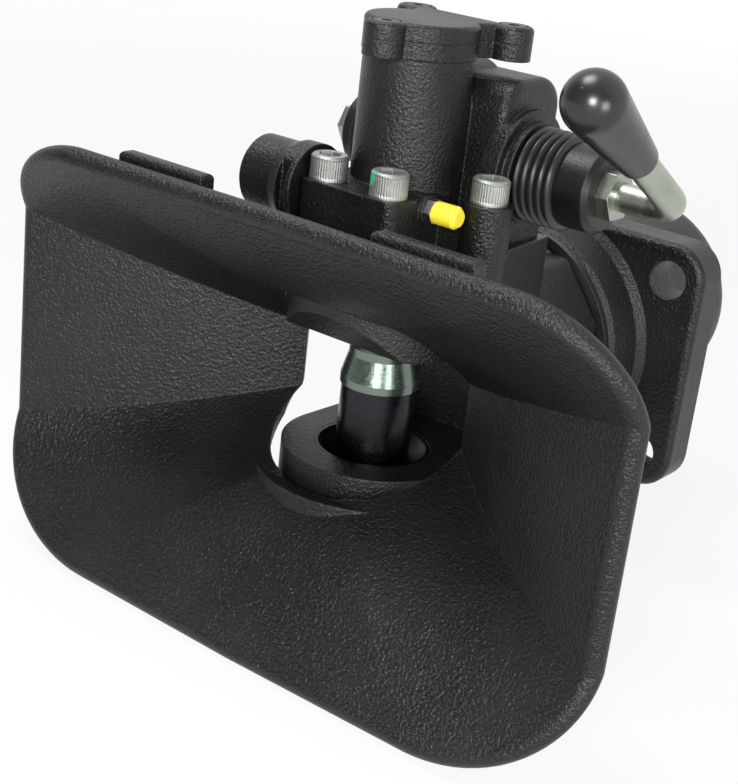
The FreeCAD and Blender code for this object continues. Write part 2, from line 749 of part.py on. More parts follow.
def build_mechanism_housing():
    body = new_body("mechanism_housing")
    base = new_sketch(body, "base_profile", "XY_Plane", ARM_TOP)
    circle(base, "0", PIN_Y, "Sizes.base_radius")
    pad(body, "base", base, "Sizes.base_thick")
    box = new_sketch(body, "box_profile", "YZ_Plane")
    box_outline(box, "-Sizes.box_front_reach", ARM_TOP, "-Sizes.box_rear_reach",
                "Sizes.box_level")
    shell = pad(body, "box", box, "2 * Sizes.box_half", symmetric=True)
    top = size("box_level")
    rounded = dress(body, "Fillet", "box_top_round", shell, "Sizes.box_round",
                    lambda edge: along(edge, "x") and at(edge, "z", top))
    side = size("box_half")
    dress(body, "Fillet", "box_side_round", rounded, "Sizes.box_edge",
          lambda edge: (at(edge, "x", side) or at(edge, "x", -side))
          and edge.BoundBox.ZMax > edge.BoundBox.ZMin)
    rib_start = "Sizes.box_rear_reach + Sizes.box_round"
    rib_length = f"Sizes.pin_reach - ({rib_start})"
    rib_middle = "(Sizes.rib_level - Sizes.rib_half)"
    rib = new_sketch(body, "rib_profile", "XZ_Plane", rib_start)
    box_outline(rib, "-Sizes.rib_half", ARM_TOP, "Sizes.rib_half", rib_middle)
    pad(body, "rib", rib, rib_length)
    ridge = new_sketch(body, "rib_ridge_profile", "XZ_Plane", rib_start)
    circle(ridge, "0", rib_middle, "Sizes.rib_half")
    pad(body, "rib_ridge", ridge, rib_length)
    tower = new_sketch(body, "tower_profile", "XY_Plane", ARM_TOP)
    circle(tower, "0", PIN_Y, "Sizes.tower_radius")
    pad(body, "tower", tower, f"Sizes.tower_level - {ARM_TOP}")
    block = new_sketch(body, "block_profile", "XY_Plane", ARM_TOP)
    box_outline(block, "-Sizes.block_half", "-Sizes.block_reach", "Sizes.block_half", PIN_Y)
    front_block = pad(body, "block", block, f"Sizes.block_level - {ARM_TOP}")
    front = -size("block_reach")
    flank = size("block_half")
    dress(body, "Fillet", "block_corners", front_block, "Sizes.block_round",
          lambda edge: along(edge, "z") and at(edge, "y", front)
          and abs(abs(edge.CenterOfMass.x) - flank) < 0.01)
    columns = [("right", "", "Sizes.block_level"), ("left", "-", "Sizes.left_column_level")]
    for name, sign, level in columns:
        post = new_sketch(body, f"{name}_column_profile", "XY_Plane", ARM_TOP)
        circle(post, f"{sign}Sizes.side_bolt_half_span", PIN_Y, "Sizes.column_radius")
        pad(body, f"{name}_column", post, f"{level} - {ARM_TOP}")
        web = new_sketch(body, f"{name}_web_profile", "YZ_Plane")
        box_outline(web, f"{PIN_Y} - Sizes.column_web_half", ARM_TOP,
                    f"{PIN_Y} + Sizes.column_web_half", f"{level} - Sizes.column_web_drop")
        link = pad(body, f"{name}_web", web, "Sizes.side_bolt_half_span")
        link.Reversed = sign == "-"
    lobed_outline(body, "flange", "Sizes.tower_level - Sizes.lobe_depth", "Sizes.lobe_depth")
    bosses = [
        ("right_boss", "", "Sizes.boss_length", "Sizes.boss_radius"),
        ("right_collar", "", "(Sizes.boss_length + Sizes.boss_collar_length)",
         "Sizes.boss_collar_radius"),
        ("left_boss", "-", "Sizes.boss_length", "Sizes.left_boss_radius"),
    ]
    for name, sign, length, radius in bosses:
        ring = new_sketch(body, f"{name}_profile", "YZ_Plane",
                          f"{sign}(Sizes.box_half - Sizes.box_wall / 2)")
        circle(ring, LEVER_Y, LEVER_Z, radius)
        lug = pad(body, name, ring, f"Sizes.box_wall / 2 + {length}")
        lug.Reversed = sign == "-"
    seat = new_sketch(body, "nipple_boss_profile", "YZ_Plane", "Sizes.tower_radius / 2")
    circle(seat, "-Sizes.nipple_reach", "Sizes.nipple_level", "Sizes.nipple_boss_radius")
    pad(body, "nipple_boss", seat, "Sizes.nipple_seat - Sizes.tower_radius / 2")
    cut_mechanism_housing(body)


def cut_mechanism_housing(body):
    bore = new_sketch(body, "tower_bore_profile", "XY_Plane", "Sizes.tower_level")
    circle(bore, "0", PIN_Y, "Sizes.tower_radius - Sizes.tower_wall")
    pocket(body, "tower_bore", bore)
    cavity = new_sketch(body, "cavity_profile", "YZ_Plane")
    box_outline(cavity, "-Sizes.box_cavity_front", f"{LEVER_Z} - Sizes.box_cavity_half_height",
                "-Sizes.box_cavity_rear", f"{LEVER_Z} + Sizes.box_cavity_half_height")
    pocket(body, "cavity", cavity, "2 * (Sizes.box_half - Sizes.box_wall)", symmetric=True)
    slot = new_sketch(body, "arm_slot_profile", "YZ_Plane")
    box_outline(slot, PIN_Y, f"{LEVER_Z} - Sizes.arm_slot_half_height", LEVER_Y,
                f"{LEVER_Z} + Sizes.arm_slot_half_height")
    pocket(body, "arm_slot", slot, "Sizes.lift_arm_thick + 4 * Sizes.lift_side_play",
           symmetric=True)
    shaft = new_sketch(body, "lever_bore_profile", "YZ_Plane")
    circle(shaft, LEVER_Y, LEVER_Z, LEVER_BORE)
    pocket(body, "lever_bore", shaft, "4 * Sizes.box_half", symmetric=True)
    holes = new_sketch(body, "bolt_clearance_profile", "XY_Plane", "Sizes.block_level")
    for x, y, level in BOLTS:
        circle(holes, x, y, "Sizes.bolt_radius + Sizes.bolt_hole_play")
    pocket(body, "bolt_clearance", holes, f"Sizes.block_level - {ARM_TOP}")
    taps = new_sketch(body, "screw_tap_profile", "XY_Plane", "Sizes.tower_level")
    for x, y in LOBES:
        circle(taps, x, y, "Sizes.screw_radius")
    pocket(body, "screw_taps", taps, "Sizes.lobe_depth")
    tap = new_sketch(body, "nipple_tap_profile", "YZ_Plane", "Sizes.nipple_seat")
    circle(tap, "-Sizes.nipple_reach", "Sizes.nipple_level", "Sizes.nipple_thread_radius")
    pocket(body, "nipple_tap", tap, "Sizes.nipple_thread_length")


def build_top_cover():
    body = new_body("top_cover")
    last = lobed_outline(body, "lid", "Sizes.tower_level", "Sizes.cover_thick")
    top = size("tower_level") + size("cover_thick")
    dress(body, "Fillet", "lid_edge", last, "Sizes.cover_edge", lambda edge: at(edge, "z", top))
    holes = new_sketch(body, "lid_hole_profile", "XY_Plane", COVER_TOP)
    recesses = new_sketch(body, "lid_recess_profile", "XY_Plane", COVER_TOP)
    for x, y in LOBES:
        circle(holes, x, y, "Sizes.screw_radius + Sizes.screw_play")
        circle(recesses, x, y, "Sizes.screw_head_radius + Sizes.screw_head_play")
    pocket(body, "lid_holes", holes)
    pocket(body, "lid_recesses", recesses, "Sizes.screw_head_height")


# Fasteners


def socket_screw(label, x, y, seat, names, depth):
    """Socket-head screw standing at a place, its head resting on the seat level."""
    radius, head_radius, head_height, flats, socket = [f"Sizes.{name}" for name in names]
    screw = document.addObject("PartDesign::Body", label)
    place(screw, x, y, seat)
    turn_profile(screw, f"{label}_turn", "Z", [
        (f"-({depth})", "0"),
        (f"-({depth})", radius),
        ("0", radius),
        ("0", head_radius),
        (head_height, head_radius),
        (head_height, "0"),
    ])
    recess = new_sketch(screw, f"{label}_socket_profile", "XY_Plane", head_height)
    hexagon(recess, flats)
    pocket(screw, f"{label}_socket", recess, socket)
    return screw


def build_fasteners():
    bolt_names = ("bolt_radius", "bolt_head_radius", "bolt_head_height", "bolt_socket_flats",
                  "bolt_socket_depth")
    bolts = []
    for i, (x, y, level) in enumerate(BOLTS):
        depth = f"{level} - {ARM_TOP} + Sizes.bolt_thread_depth"
        bolts.append(socket_screw(f"housing_bolt_{i}", x, y, level, bolt_names, depth))
    group("housing_bolts", bolts)
    screw_names = ("screw_radius", "screw_head_radius", "screw_head_height",
                   "screw_socket_flats", "screw_socket_depth")
    seat = f"{COVER_TOP} - Sizes.screw_head_height"
    depth = "Sizes.cover_thick - Sizes.screw_head_height + Sizes.lobe_depth"
    screws = [socket_screw(f"cover_screw_{i}", x, y, seat, screw_names, depth)
              for i, (x, y) in enumerate(LOBES)]
    group("cover_screws", screws)


def build_grease_nipple():
    place_at = ("Sizes.nipple_seat", "-Sizes.nipple_reach", "Sizes.nipple_level")
    body = new_body("grease_nipple", *place_at)
    base = new_sketch(body, "nipple_base_profile", "YZ_Plane")
    hexagon(base, "Sizes.nipple_flats")
    pad(body, "nipple_base", base, "Sizes.nipple_base_length")
    turn_profile(body, "nipple_stem", "X", [
        ("-Sizes.nipple_thread_length", "0"),
        ("Sizes.nipple_base_length + Sizes.nipple_stem_length", "0"),
        ("Sizes.nipple_base_length + Sizes.nipple_stem_length", "Sizes.nipple_stem_radius"),
        ("0", "Sizes.nipple_stem_radius"),
        ("0", "Sizes.nipple_thread_radius"),
        ("-Sizes.nipple_thread_length", "Sizes.nipple_thread_radius"),
    ])
    start = "Sizes.nipple_base_length"
    stem_end = f"({start} + Sizes.nipple_stem_length)"
    turned("nipple_cap", "X", [
        (start, "Sizes.nipple_stem_radius"),
        (stem_end, "Sizes.nipple_stem_radius"),
        (stem_end, "0"),
        (f"{start} + Sizes.cap_length", "0"),
        (f"{start} + Sizes.cap_length", "Sizes.cap_tip_radius"),
        (f"{start} + Sizes.cap_length - Sizes.cap_taper", "Sizes.cap_radius"),
        (start, "Sizes.cap_radius"),
    ], *place_at)


# Closing indicator


def build_indicator():
    end = "-Sizes.sleeve_end"
    taper = f"{SLEEVE_X} - Sizes.sleeve_root_length"
    bore = "Sizes.indicator_radius + Sizes.indicator_play"
    place_at = ("0", "-Sizes.sleeve_reach", "Sizes.sleeve_level")
    sleeve = turned("indicator_sleeve", "X", [
        (SLEEVE_X, bore),
        (end, bore),
        (end, "Sizes.sleeve_end_radius - Sizes.sleeve_edge"),
        (f"{end} + Sizes.sleeve_edge", "Sizes.sleeve_end_radius"),
        (f"{taper} - Sizes.sleeve_taper_length", "Sizes.sleeve_end_radius"),
        (taper, "Sizes.sleeve_root_radius"),
        (SLEEVE_X, "Sizes.sleeve_root_radius"),
    ], *place_at)
    slot = new_sketch(sleeve, "sleeve_slot_profile", "XZ_Plane", "Sizes.sleeve_root_radius")
    right = f"({SLEEVE_X} - Sizes.sleeve_slot_inset)"
    box_outline(slot, f"{right} - Sizes.sleeve_slot_width", "-Sizes.sleeve_slot_height / 2",
                right, "Sizes.sleeve_slot_height / 2")
    pocket(sleeve, "sleeve_slot", slot, "Sizes.sleeve_slot_depth")
    face = f"({end} + Sizes.indicator_recess)"
    turned("indicator_pin", "X", [
        (face, "0"),
        (f"{face} + Sizes.indicator_length", "0"),
        (f"{face} + Sizes.indicator_length", "Sizes.indicator_radius"),
        (f"{face} + Sizes.indicator_edge", "Sizes.indicator_radius"),
        (face, "Sizes.indicator_radius - Sizes.indicator_edge"),
    ], *place_at)


# Lever shaft with its arm, gaiter, hub and hand lever


def build_lever():
    place_at = ("0", LEVER_Y, LEVER_Z)
    tube("lever_shaft", "X", LEFT_FACE_X, LEVER_FACE_X, "Sizes.left_bolt_radius",
         "Sizes.lever_shaft_radius", *place_at)
    inner = "Sizes.lever_shaft_radius + Sizes.running_fit"
    bushes = new_body("shaft_bushes", *place_at)
    spans = [
        ("right_bush", "Sizes.box_half - Sizes.box_wall", GAITER_X),
        ("left_bush", "-Sizes.box_half - Sizes.boss_length", "-Sizes.box_half + Sizes.box_wall"),
    ]
    for name, start, end in spans:
        turn_profile(bushes, name, "X", [
            (start, inner),
            (end, inner),
            (end, LEVER_BORE),
            (start, LEVER_BORE),
        ])
    build_lift_arm(place_at)
    build_gaiter(place_at)
    turned("lever_hub", "X", [
        (HUB_X, "Sizes.lever_shaft_radius"),
        (LEVER_FACE_X, "Sizes.lever_shaft_radius"),
        (LEVER_FACE_X, "Sizes.lever_hub_radius - Sizes.lever_hub_edge"),
        (f"{LEVER_FACE_X} - Sizes.lever_hub_edge", "Sizes.lever_hub_radius"),
        (HUB_X, "Sizes.lever_hub_radius"),
    ], *place_at)
    turned("left_collar", "X", [
        (LEFT_COLLAR_X, "Sizes.lever_shaft_radius"),
        (LEFT_FACE_X, "Sizes.lever_shaft_radius"),
        (LEFT_FACE_X, "Sizes.left_collar_radius - Sizes.left_collar_edge"),
        (f"{LEFT_FACE_X} + Sizes.left_collar_edge", "Sizes.left_collar_radius"),
        (LEFT_COLLAR_X, "Sizes.left_collar_radius"),
    ], *place_at)
    bolt = new_body("left_bolt", *place_at)
    head = new_sketch(bolt, "left_bolt_profile", "YZ_Plane",
                      f"{LEFT_FACE_X} - Sizes.left_bolt_height")
    hexagon(head, "Sizes.left_bolt_flats")
    pad(bolt, "left_bolt_head", head, "Sizes.left_bolt_height")
    turn_profile(bolt, "left_bolt_shank", "X", [
        (f"{LEFT_FACE_X} - Sizes.left_bolt_height / 2", "0"),
        (f"{LEFT_FACE_X} + Sizes.left_bolt_depth", "0"),
        (f"{LEFT_FACE_X} + Sizes.left_bolt_depth", "Sizes.left_bolt_radius"),
        (f"{LEFT_FACE_X} - Sizes.left_bolt_height / 2", "Sizes.left_bolt_radius"),
    ])
    build_hand_lever(place_at)


def build_lift_arm(place_at):
    """Flat arm that points forward and down while the pin is closed."""
    body = new_body("lift_arm", *place_at)
    body.setExpression("Placement.Rotation.Angle", "Sizes.lift_closed_angle")
    body.Placement.Rotation.Axis = Vector(1, 0, 0)
    hub = new_sketch(body, "lift_hub_profile", "YZ_Plane")
    circle(hub, "0", "0", "Sizes.lift_hub_radius")
    pad(body, "lift_hub", hub, "Sizes.lift_arm_thick", symmetric=True)
    blade = new_sketch(body, "lift_blade_profile", "YZ_Plane")
    outline(blade, [
        ("0", "Sizes.lever_shaft_radius"),
        ("-Sizes.lift_arm_length", "Sizes.lift_tip_radius"),
        ("-Sizes.lift_arm_length", "-Sizes.lift_tip_radius"),
        ("0", "-Sizes.lever_shaft_radius"),
    ])
    pad(body, "lift_blade", blade, "Sizes.lift_arm_thick", symmetric=True)
    tip = new_sketch(body, "lift_tip_profile", "YZ_Plane")
    circle(tip, "-Sizes.lift_arm_length", "0", "Sizes.lift_tip_radius")
    pad(body, "lift_tip", tip, "Sizes.lift_arm_thick", symmetric=True)
    bore = new_sketch(body, "lift_bore_profile", "YZ_Plane")
    circle(bore, "0", "0", "Sizes.lever_shaft_radius")
    pocket(body, "lift_bore", bore, "2 * Sizes.lift_arm_thick", symmetric=True)


def build_gaiter(place_at):
    """Rubber gaiter with a row of round-topped ribs."""
    pitch = "Sizes.gaiter_length / Sizes.gaiter_ribs"
    corners = [(GAITER_X, "Sizes.gaiter_valley_radius")]
    for i in range(int(size("gaiter_ribs"))):
        for share, radius in ((0.3, "peak"), (0.7, "peak"), (1.0, "valley")):
            corners.append((f"{GAITER_X} + {i + share} * {pitch}",
                            f"Sizes.gaiter_{radius}_radius"))
    bore = "Sizes.lever_shaft_radius + Sizes.gaiter_bore_play"
    corners.append((f"{GAITER_X} + Sizes.gaiter_length", bore))
    corners.append((GAITER_X, bore))
    turned("bellows", "X", corners, *place_at)


def build_hand_lever(place_at):
    """Bent rod: out along the shaft, then forward and up to the grip."""
    start = size("box_half") + size("boss_length") + size("boss_collar_length")
    start += size("gaiter_length") + size("lever_gap") + size("lever_hub_length")
    root_end = start + size("lever_root_length")
    bend = size("rod_bend")
    corner = size("rod_offset")
    rise = math.radians(size("rod_angle"))
    heading = Vector(0, -math.cos(rise), math.sin(rise))
    across = Vector(1, 0, 0)
    turn_in = across * (corner - bend)
    centre = turn_in + heading * bend
    middle = centre + (across - heading) * (bend / math.sqrt(2))
    turn_out = centre + across * bend
    rod_end = across * corner + heading * size("rod_end")
    path = Part.Wire([
        Part.LineSegment(across * root_end, turn_in).toShape(),
        Part.Arc(turn_in, middle, turn_out).toShape(),
        Part.LineSegment(turn_out, rod_end).toShape(),
    ])
    section = Part.Wire(Part.Circle(across * root_end, across, size("rod_radius")).toShape())
    rod = path.makePipeShell([section], True, False)
    corner_radius = size("lever_root_flats") / math.sqrt(3)
    hexagon_points = [
        across * start + Vector(0, math.cos(i * math.pi / 3), math.sin(i * math.pi / 3))
        * corner_radius for i in range(7)
    ]
    root = Part.Face(Part.makePolygon(hexagon_points)).extrude(across * (root_end - start))
    lever = document.addObject("Part::Feature", "hand_lever")
    lever.Shape = rod.fuse(root).removeSplitter()
    place(lever, *place_at)
    nodes["hand_lever"] = lever
    build_grip(heading)


def build_grip(heading):
    """Tapered handle with a ball end, bored for the rod."""
    first = size("grip_start")
    centre = size("grip_centre")
    ball = size("grip_ball_radius")
    neck = size("grip_neck_radius")
    slope = math.asin((ball - neck) / (centre - first))
    touch = Vector(ball * math.cos(slope), 0, centre - ball * math.sin(slope))
    crown = Vector(0, 0, centre + ball)
    shoulder = Vector(ball * math.cos(math.pi / 4), 0, centre + ball * math.sin(math.pi / 4))
    bore = size("rod_radius")
    end = size("rod_end")
    profile = Part.Wire([
        Part.LineSegment(Vector(bore, 0, first), Vector(neck, 0, first)).toShape(),
        Part.LineSegment(Vector(neck, 0, first), touch).toShape(),
        Part.Arc(touch, shoulder, crown).toShape(),
        Part.LineSegment(crown, Vector(0, 0, end)).toShape(),
        Part.LineSegment(Vector(0, 0, end), Vector(bore, 0, end)).toShape(),
        Part.LineSegment(Vector(bore, 0, end), Vector(bore, 0, first)).toShape(),
    ])
    handle = Part.Face(profile).revolve(Vector(), Vector(0, 0, 1), 360)
    grip = document.addObject("Part::Feature", "lever_grip")
    grip.Shape = handle
    grip.Placement = FreeCAD.Placement(
        Vector(size("rod_offset"), -size("lever_reach"), size("lever_level")),
        FreeCAD.Rotation(Vector(0, 0, 1), heading))
    nodes["lever_grip"] = grip


def build_closing_spring():
    """Leg spring wound round the lever shaft inside the lever box."""
    turns = size("spring_turns")
    pitch = size("spring_pitch")
    mean = size("spring_radius")
    helix = Part.makeHelix(pitch, pitch * turns, mean)
    section = Part.Wire(Part.Circle(Vector(mean, 0, 0), Vector(0, 1, 0),
                                    size("spring_wire_radius")).toShape())
    coil = Part.Wire(helix).makePipeShell([section], True, True)
    spring = document.addObject("Part::Feature", "closing_spring")
    spring.Shape = coil
    spring.Placement = FreeCAD.Placement(Vector(), FreeCAD.Rotation(Vector(0, 1, 0), 90))
    length = "Sizes.spring_pitch * Sizes.spring_turns + Sizes.spring_wire_radius"
    place(spring, f"Sizes.box_half - Sizes.box_wall - Sizes.spring_end_play - ({length})",
          LEVER_Y, LEVER_Z)
    nodes["closing_spring"] = spring


# Funnel


CORNER_TURNS = [math.radians(angle) for angle in (0, 18, 36, 54, 72, 90)]


def corner_point(turn, half_width, level, corner_wide, corner_high):
    """Point of an outline's right corner, between the end of the lip and the side."""
    across = half_width - corner_wide * (1 - math.sin(turn))
    return across, level - corner_high * (1 - math.cos(turn))


def mouth_point(across, level):
    """Point of the mouth's rim; the lips stand further forward than the sides."""
    high_start = size("mouth_top_level") - size("upper_corner_high")
    low_start = size("mouth_bottom_level") + size("lower_corner_high")
    side = size("mouth_side_reach")
    reach = side
    if level > high_start:
        share = (level - high_start) / size("upper_corner_high")
        reach = side + (size("upper_lip_reach") - side) * share
    if level < low_start:
        share = (low_start - level) / size("lower_corner_high")
        reach = side + (size("lower_lip_reach") - side) * share
    return Vector(across, -reach, level)


def throat_point(across, level):
    """Point just inside the cylinder about the pin axis that trims the throat."""
    depth = math.sqrt(max(size("throat_radius") ** 2 - across ** 2, 0))
    return Vector(across, -size("pin_reach") - depth + size("throat_trim"), level)


def wall_section(inner_end, rim, outward):
    """Closed section through the funnel's wall, with a round bead at the rim."""
    chord = (rim - inner_end).normalize()
    normal = (outward - chord * outward.dot(chord)).normalize()
    flare = normal * size("funnel_flare")

    def curve(start, end):
        bezier = Part.BezierCurve()
        bezier.setPoles([start, (start + end) * 0.5 - flare, end])
        return bezier

    wall = normal * size("funnel_wall")
    bead = normal * size("funnel_bead")
    crest = rim + bead * 0.5 + chord * (0.5 * size("funnel_bead"))
    return Part.Wire([
        curve(inner_end, rim).toShape(),
        Part.Arc(rim, crest, rim + bead).toShape(),
        curve(inner_end + wall, rim + bead).toShape(),
        Part.LineSegment(inner_end + wall, inner_end).toShape(),
    ])


def funnel_corner(lip, mouth_corner, throat_level, throat_corner):
    """Ends and outward direction of the wall sections round a right-hand corner."""
    up = math.copysign(1, lip)
    sections = []
    for turn in CORNER_TURNS:
        rim = corner_point(turn, size("mouth_half_width"), lip, size(f"{mouth_corner}_wide"),
                           up * size(f"{mouth_corner}_high"))
        inner = corner_point(turn, size("throat_radius"), throat_level,
                             size("throat_corner_wide"), up * throat_corner)
        outward = Vector(math.sin(turn), 1, up * math.cos(turn))
        sections.append((throat_point(*inner), mouth_point(*rim), outward))
    return sections


def centred(section):
    """The same wall section moved to the funnel's middle plane."""
    return [Vector(0, item.y, item.z) for item in section]


def funnel_horn():
    """Straight lips and sides joined by round corners, as a right half and its mirror image."""
    upper = funnel_corner(size("mouth_top_level"), "upper_corner",
                          size("throat_top_level"), size("throat_corner_top"))
    lower = funnel_corner(size("mouth_bottom_level"), "lower_corner",
                          size("throat_bottom_level"), size("throat_corner_bottom"))
    straight = [
        (centred(upper[0]), upper[0]),
        (upper[-1], lower[-1]),
        (lower[0], centred(lower[0])),
    ]
    right = [Part.makeLoft([wall_section(*first), wall_section(*last)], True, True)
             for first, last in straight]
    for corner in (upper, lower):
        right.append(Part.makeLoft([wall_section(*section) for section in corner], True, False))
    left = [piece.mirror(Vector(), Vector(1, 0, 0)) for piece in right]
    return right[0].fuse(right[1:] + left)


def build_funnel():
    """The horn, its lugs and its eye, trimmed by the throat and bored for the journal."""
    up = Vector(0, 0, 1)
    eye_top = size("jaw_bottom_level") - size("lower_arm_thick") - size("thrust_gap")
    thick = size("eye_thick")
    floor = Vector(0, -size("pin_reach"), eye_top - thick)
    skirt_height = size("throat_bottom_level") - floor.z - size("funnel_wall") / 2
    skirt = Part.makeCylinder(size("throat_radius") + size("skirt_wall"), skirt_height, floor, up,
                              2 * size("skirt_half_angle"))
    skirt.rotate(floor, up, -90 - size("skirt_half_angle"))
    bore = size("journal_radius") + size("eye_play")
    ring = Part.makeCylinder(bore + size("eye_wall"), thick, floor)
    solid = funnel_horn().fuse([skirt, ring] + funnel_lugs())
    height = size("mouth_top_level") - eye_top
    throat = Part.makeCylinder(size("throat_radius"), height, floor + up * thick)
    journal = Part.makeCylinder(bore, thick, floor)
    funnel = document.addObject("Part::Feature", "funnel")
    funnel.Shape = solid.cut([throat, journal]).removeSplitter()
    nodes["funnel"] = funnel


def funnel_lugs():
    """Two lifting lugs on the upper lip, behind its bead."""
    width = size("lug_outer") - size("lug_inner")
    depth = size("lug_depth")
    front = -size("upper_lip_reach") + size("lug_setback")
    low = size("lug_level") - size("lug_height")
    lug = Part.makeBox(width, depth, size("lug_height"), Vector(size("lug_inner"), front, low))
    upright = [edge for edge in lug.Edges if at(edge, "z", size("lug_level"))]
    lug = lug.makeFillet(size("lug_round"), upright)
    return [lug, lug.mirror(Vector(), Vector(1, 0, 0))]


build_flange_housing()
build_flange_fittings()
build_coupling_head()
build_shaft_holders()
build_pin_set()
build_mechanism_housing()
build_top_cover()
build_fasteners()
build_grease_nipple()
build_indicator()
build_lever()
build_closing_spring()
build_funnel()
document.recompute()

for item in document.Objects:
    if "Invalid" in item.State or "Error" in item.State:
        raise RuntimeError(f"{item.Label} did not build: {item.State}")

os.makedirs("parts", exist_ok=True)
for label, item in nodes.items():
    if item.Shape.isNull() or not item.Shape.isValid() or not item.Shape.Solids:
        raise RuntimeError(f"{label} has no valid solid")
    item.Shape.exportStep(f"parts/{label}.step")
    print(label, len(item.Shape.Solids), round(item.Shape.Volume))
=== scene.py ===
import math

import bpy
from bpy.props import FloatProperty, FloatVectorProperty, IntProperty, PointerProperty
from mathutils import Matrix, Vector


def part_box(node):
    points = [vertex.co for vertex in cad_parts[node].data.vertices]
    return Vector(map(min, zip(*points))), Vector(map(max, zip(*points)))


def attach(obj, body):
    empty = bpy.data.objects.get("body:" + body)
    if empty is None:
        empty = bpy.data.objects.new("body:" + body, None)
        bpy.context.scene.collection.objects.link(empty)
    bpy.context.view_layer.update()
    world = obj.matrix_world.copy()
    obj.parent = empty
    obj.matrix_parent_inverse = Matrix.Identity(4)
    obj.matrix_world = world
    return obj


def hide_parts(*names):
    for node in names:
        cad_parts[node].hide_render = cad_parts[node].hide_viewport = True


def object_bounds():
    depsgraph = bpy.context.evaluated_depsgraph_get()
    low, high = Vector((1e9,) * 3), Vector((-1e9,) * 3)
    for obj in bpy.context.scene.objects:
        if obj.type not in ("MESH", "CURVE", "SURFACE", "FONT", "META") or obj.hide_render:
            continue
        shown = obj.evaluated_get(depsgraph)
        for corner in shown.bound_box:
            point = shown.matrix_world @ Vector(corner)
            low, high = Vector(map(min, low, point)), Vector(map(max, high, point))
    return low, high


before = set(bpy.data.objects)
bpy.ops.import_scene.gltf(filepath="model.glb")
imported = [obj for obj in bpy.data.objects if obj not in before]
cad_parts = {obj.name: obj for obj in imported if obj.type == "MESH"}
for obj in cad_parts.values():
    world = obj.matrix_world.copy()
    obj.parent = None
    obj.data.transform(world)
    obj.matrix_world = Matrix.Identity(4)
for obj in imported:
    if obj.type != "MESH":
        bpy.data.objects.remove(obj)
CAD_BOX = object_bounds()

bl_info = {
    "name": "Pin coupling dresser",
    "version": (1, 0, 0),
    "blender": (4, 5, 0),
    "location": "View3D > Sidebar > Coupling",
    "description": "Dresses the solids of a trailer pin coupling with finishes and fine pieces",
    "category": "Object",
}

# Bare solids, by the finish that they take
CASTINGS = ["flange_housing", "rear_cup", "coupling_head", "mechanism_housing", "top_cover",
            "indicator_sleeve"]
TURNED = ["lever_hub", "left_collar"]
PLATED = ["hand_lever", "left_bolt"]
MACHINED = ["thrust_washer", "castle_nut", "split_pin", "funnel_circlip", "lever_shaft",
            "lift_arm", "closing_spring", "grease_nipple", "indicator_pin"]
BRONZE = ["front_bush", "rear_bush", "upper_bush", "shaft_bushes"]

# Seats under the housing bolts' heads: two in front, one on the right, one lower on the left
BOLT_SEATS = [(0.018, -0.199, 0.104), (-0.018, -0.199, 0.104), (0.050, -0.163, 0.104),
              (-0.050, -0.163, 0.088)]

# Seats under the lid screws' heads: one in front, two behind
SCREW_SEATS = [(0.0, -0.191, 0.176), (0.0285, -0.129, 0.176), (-0.0285, -0.129, 0.176)]

# Middles of the paint dabs, on the right one of the front bolts and on the right side's bolt
DAB_SPOTS = [(0.0125, -0.2065, 0.113), (0.0505, -0.166, 0.116)]

# Middle of the part, where the lamps point
LAMP_TARGET = Vector((0.0, -0.18, 0.03))

WHITE = (1.0, 1.0, 1.0)


# Properties


def metres(name, description, default):
    return FloatProperty(name=name, description=description, default=default, unit="LENGTH",
                         precision=4)


def colour(name, description, default):
    return FloatVectorProperty(name=name, description=description, default=default,
                               subtype="COLOR", size=3, min=0.0, max=1.0)


def factor(name, description, default):
    return FloatProperty(name=name, description=description, default=default,
                         subtype="FACTOR", min=0.0, max=1.0)


def watts(name, description, default):
    return FloatProperty(name=name, description=description, default=default, unit="POWER")


class CouplingFinishes(bpy.types.PropertyGroup):
    """Colours and surface values of the coupling's finishes."""

    paint: colour("Paint", "Black paint on the castings", (0.0028, 0.0030, 0.0027))
    # Grey for the random mottle, and for the painted highlight along the edges
    grey_mottle_and_edge_highlight: colour("Mottle and edge highlight grey", "Grey for random mottle, and painted highlight along the edges", (0.050, 0.051, 0.047))
    paint_roughness: factor("Paint roughness", "How dull the paint is", 0.37)
    paint_gloss: factor("Paint gloss", "Strength of the paint's mirror light", 0.42)
    grain: metres("Grain", "Size of the bumps that the sand mould leaves", 0.0016)
    zinc: colour("Zinc", "Zinc plating on the bolts", (0.40, 0.41, 0.39))
    rod_zinc: colour("Rod zinc", "Greenish plating on the lever's rod", (0.44, 0.47, 0.40))
    pin_zinc: colour("Pin zinc", "Greenish plating on the pin's barrel", (0.19, 0.24, 0.205))
    # Pin colours by height: a darker band below the step, then near-black for the spigot and its seat
    pin_band: colour("Pin band", "Dark band of the pin below the step", (0.034, 0.034, 0.041))
    pin_spigot: colour("Pin spigot", "Near-black lower end of the pin and its seat", (0.030, 0.030, 0.031))
    steel: colour("Steel", "Machined steel", (0.42, 0.42, 0.43))
    bronze: colour("Bronze", "Bearing bushes", (0.55, 0.36, 0.18))
    rubber: colour("Rubber", "Gaiter and dust seal", (0.014, 0.014, 0.014))
    grip: colour("Grip", "Glossy plastic of the lever's grip", (0.012, 0.012, 0.012))
    cap: colour("Cap", "Yellow plastic of the grease nipple's cap", (0.86, 0.70, 0.045))
    dab: colour("Dab", "Green paint dab that marks a tightened bolt", (0.04, 0.34, 0.20))


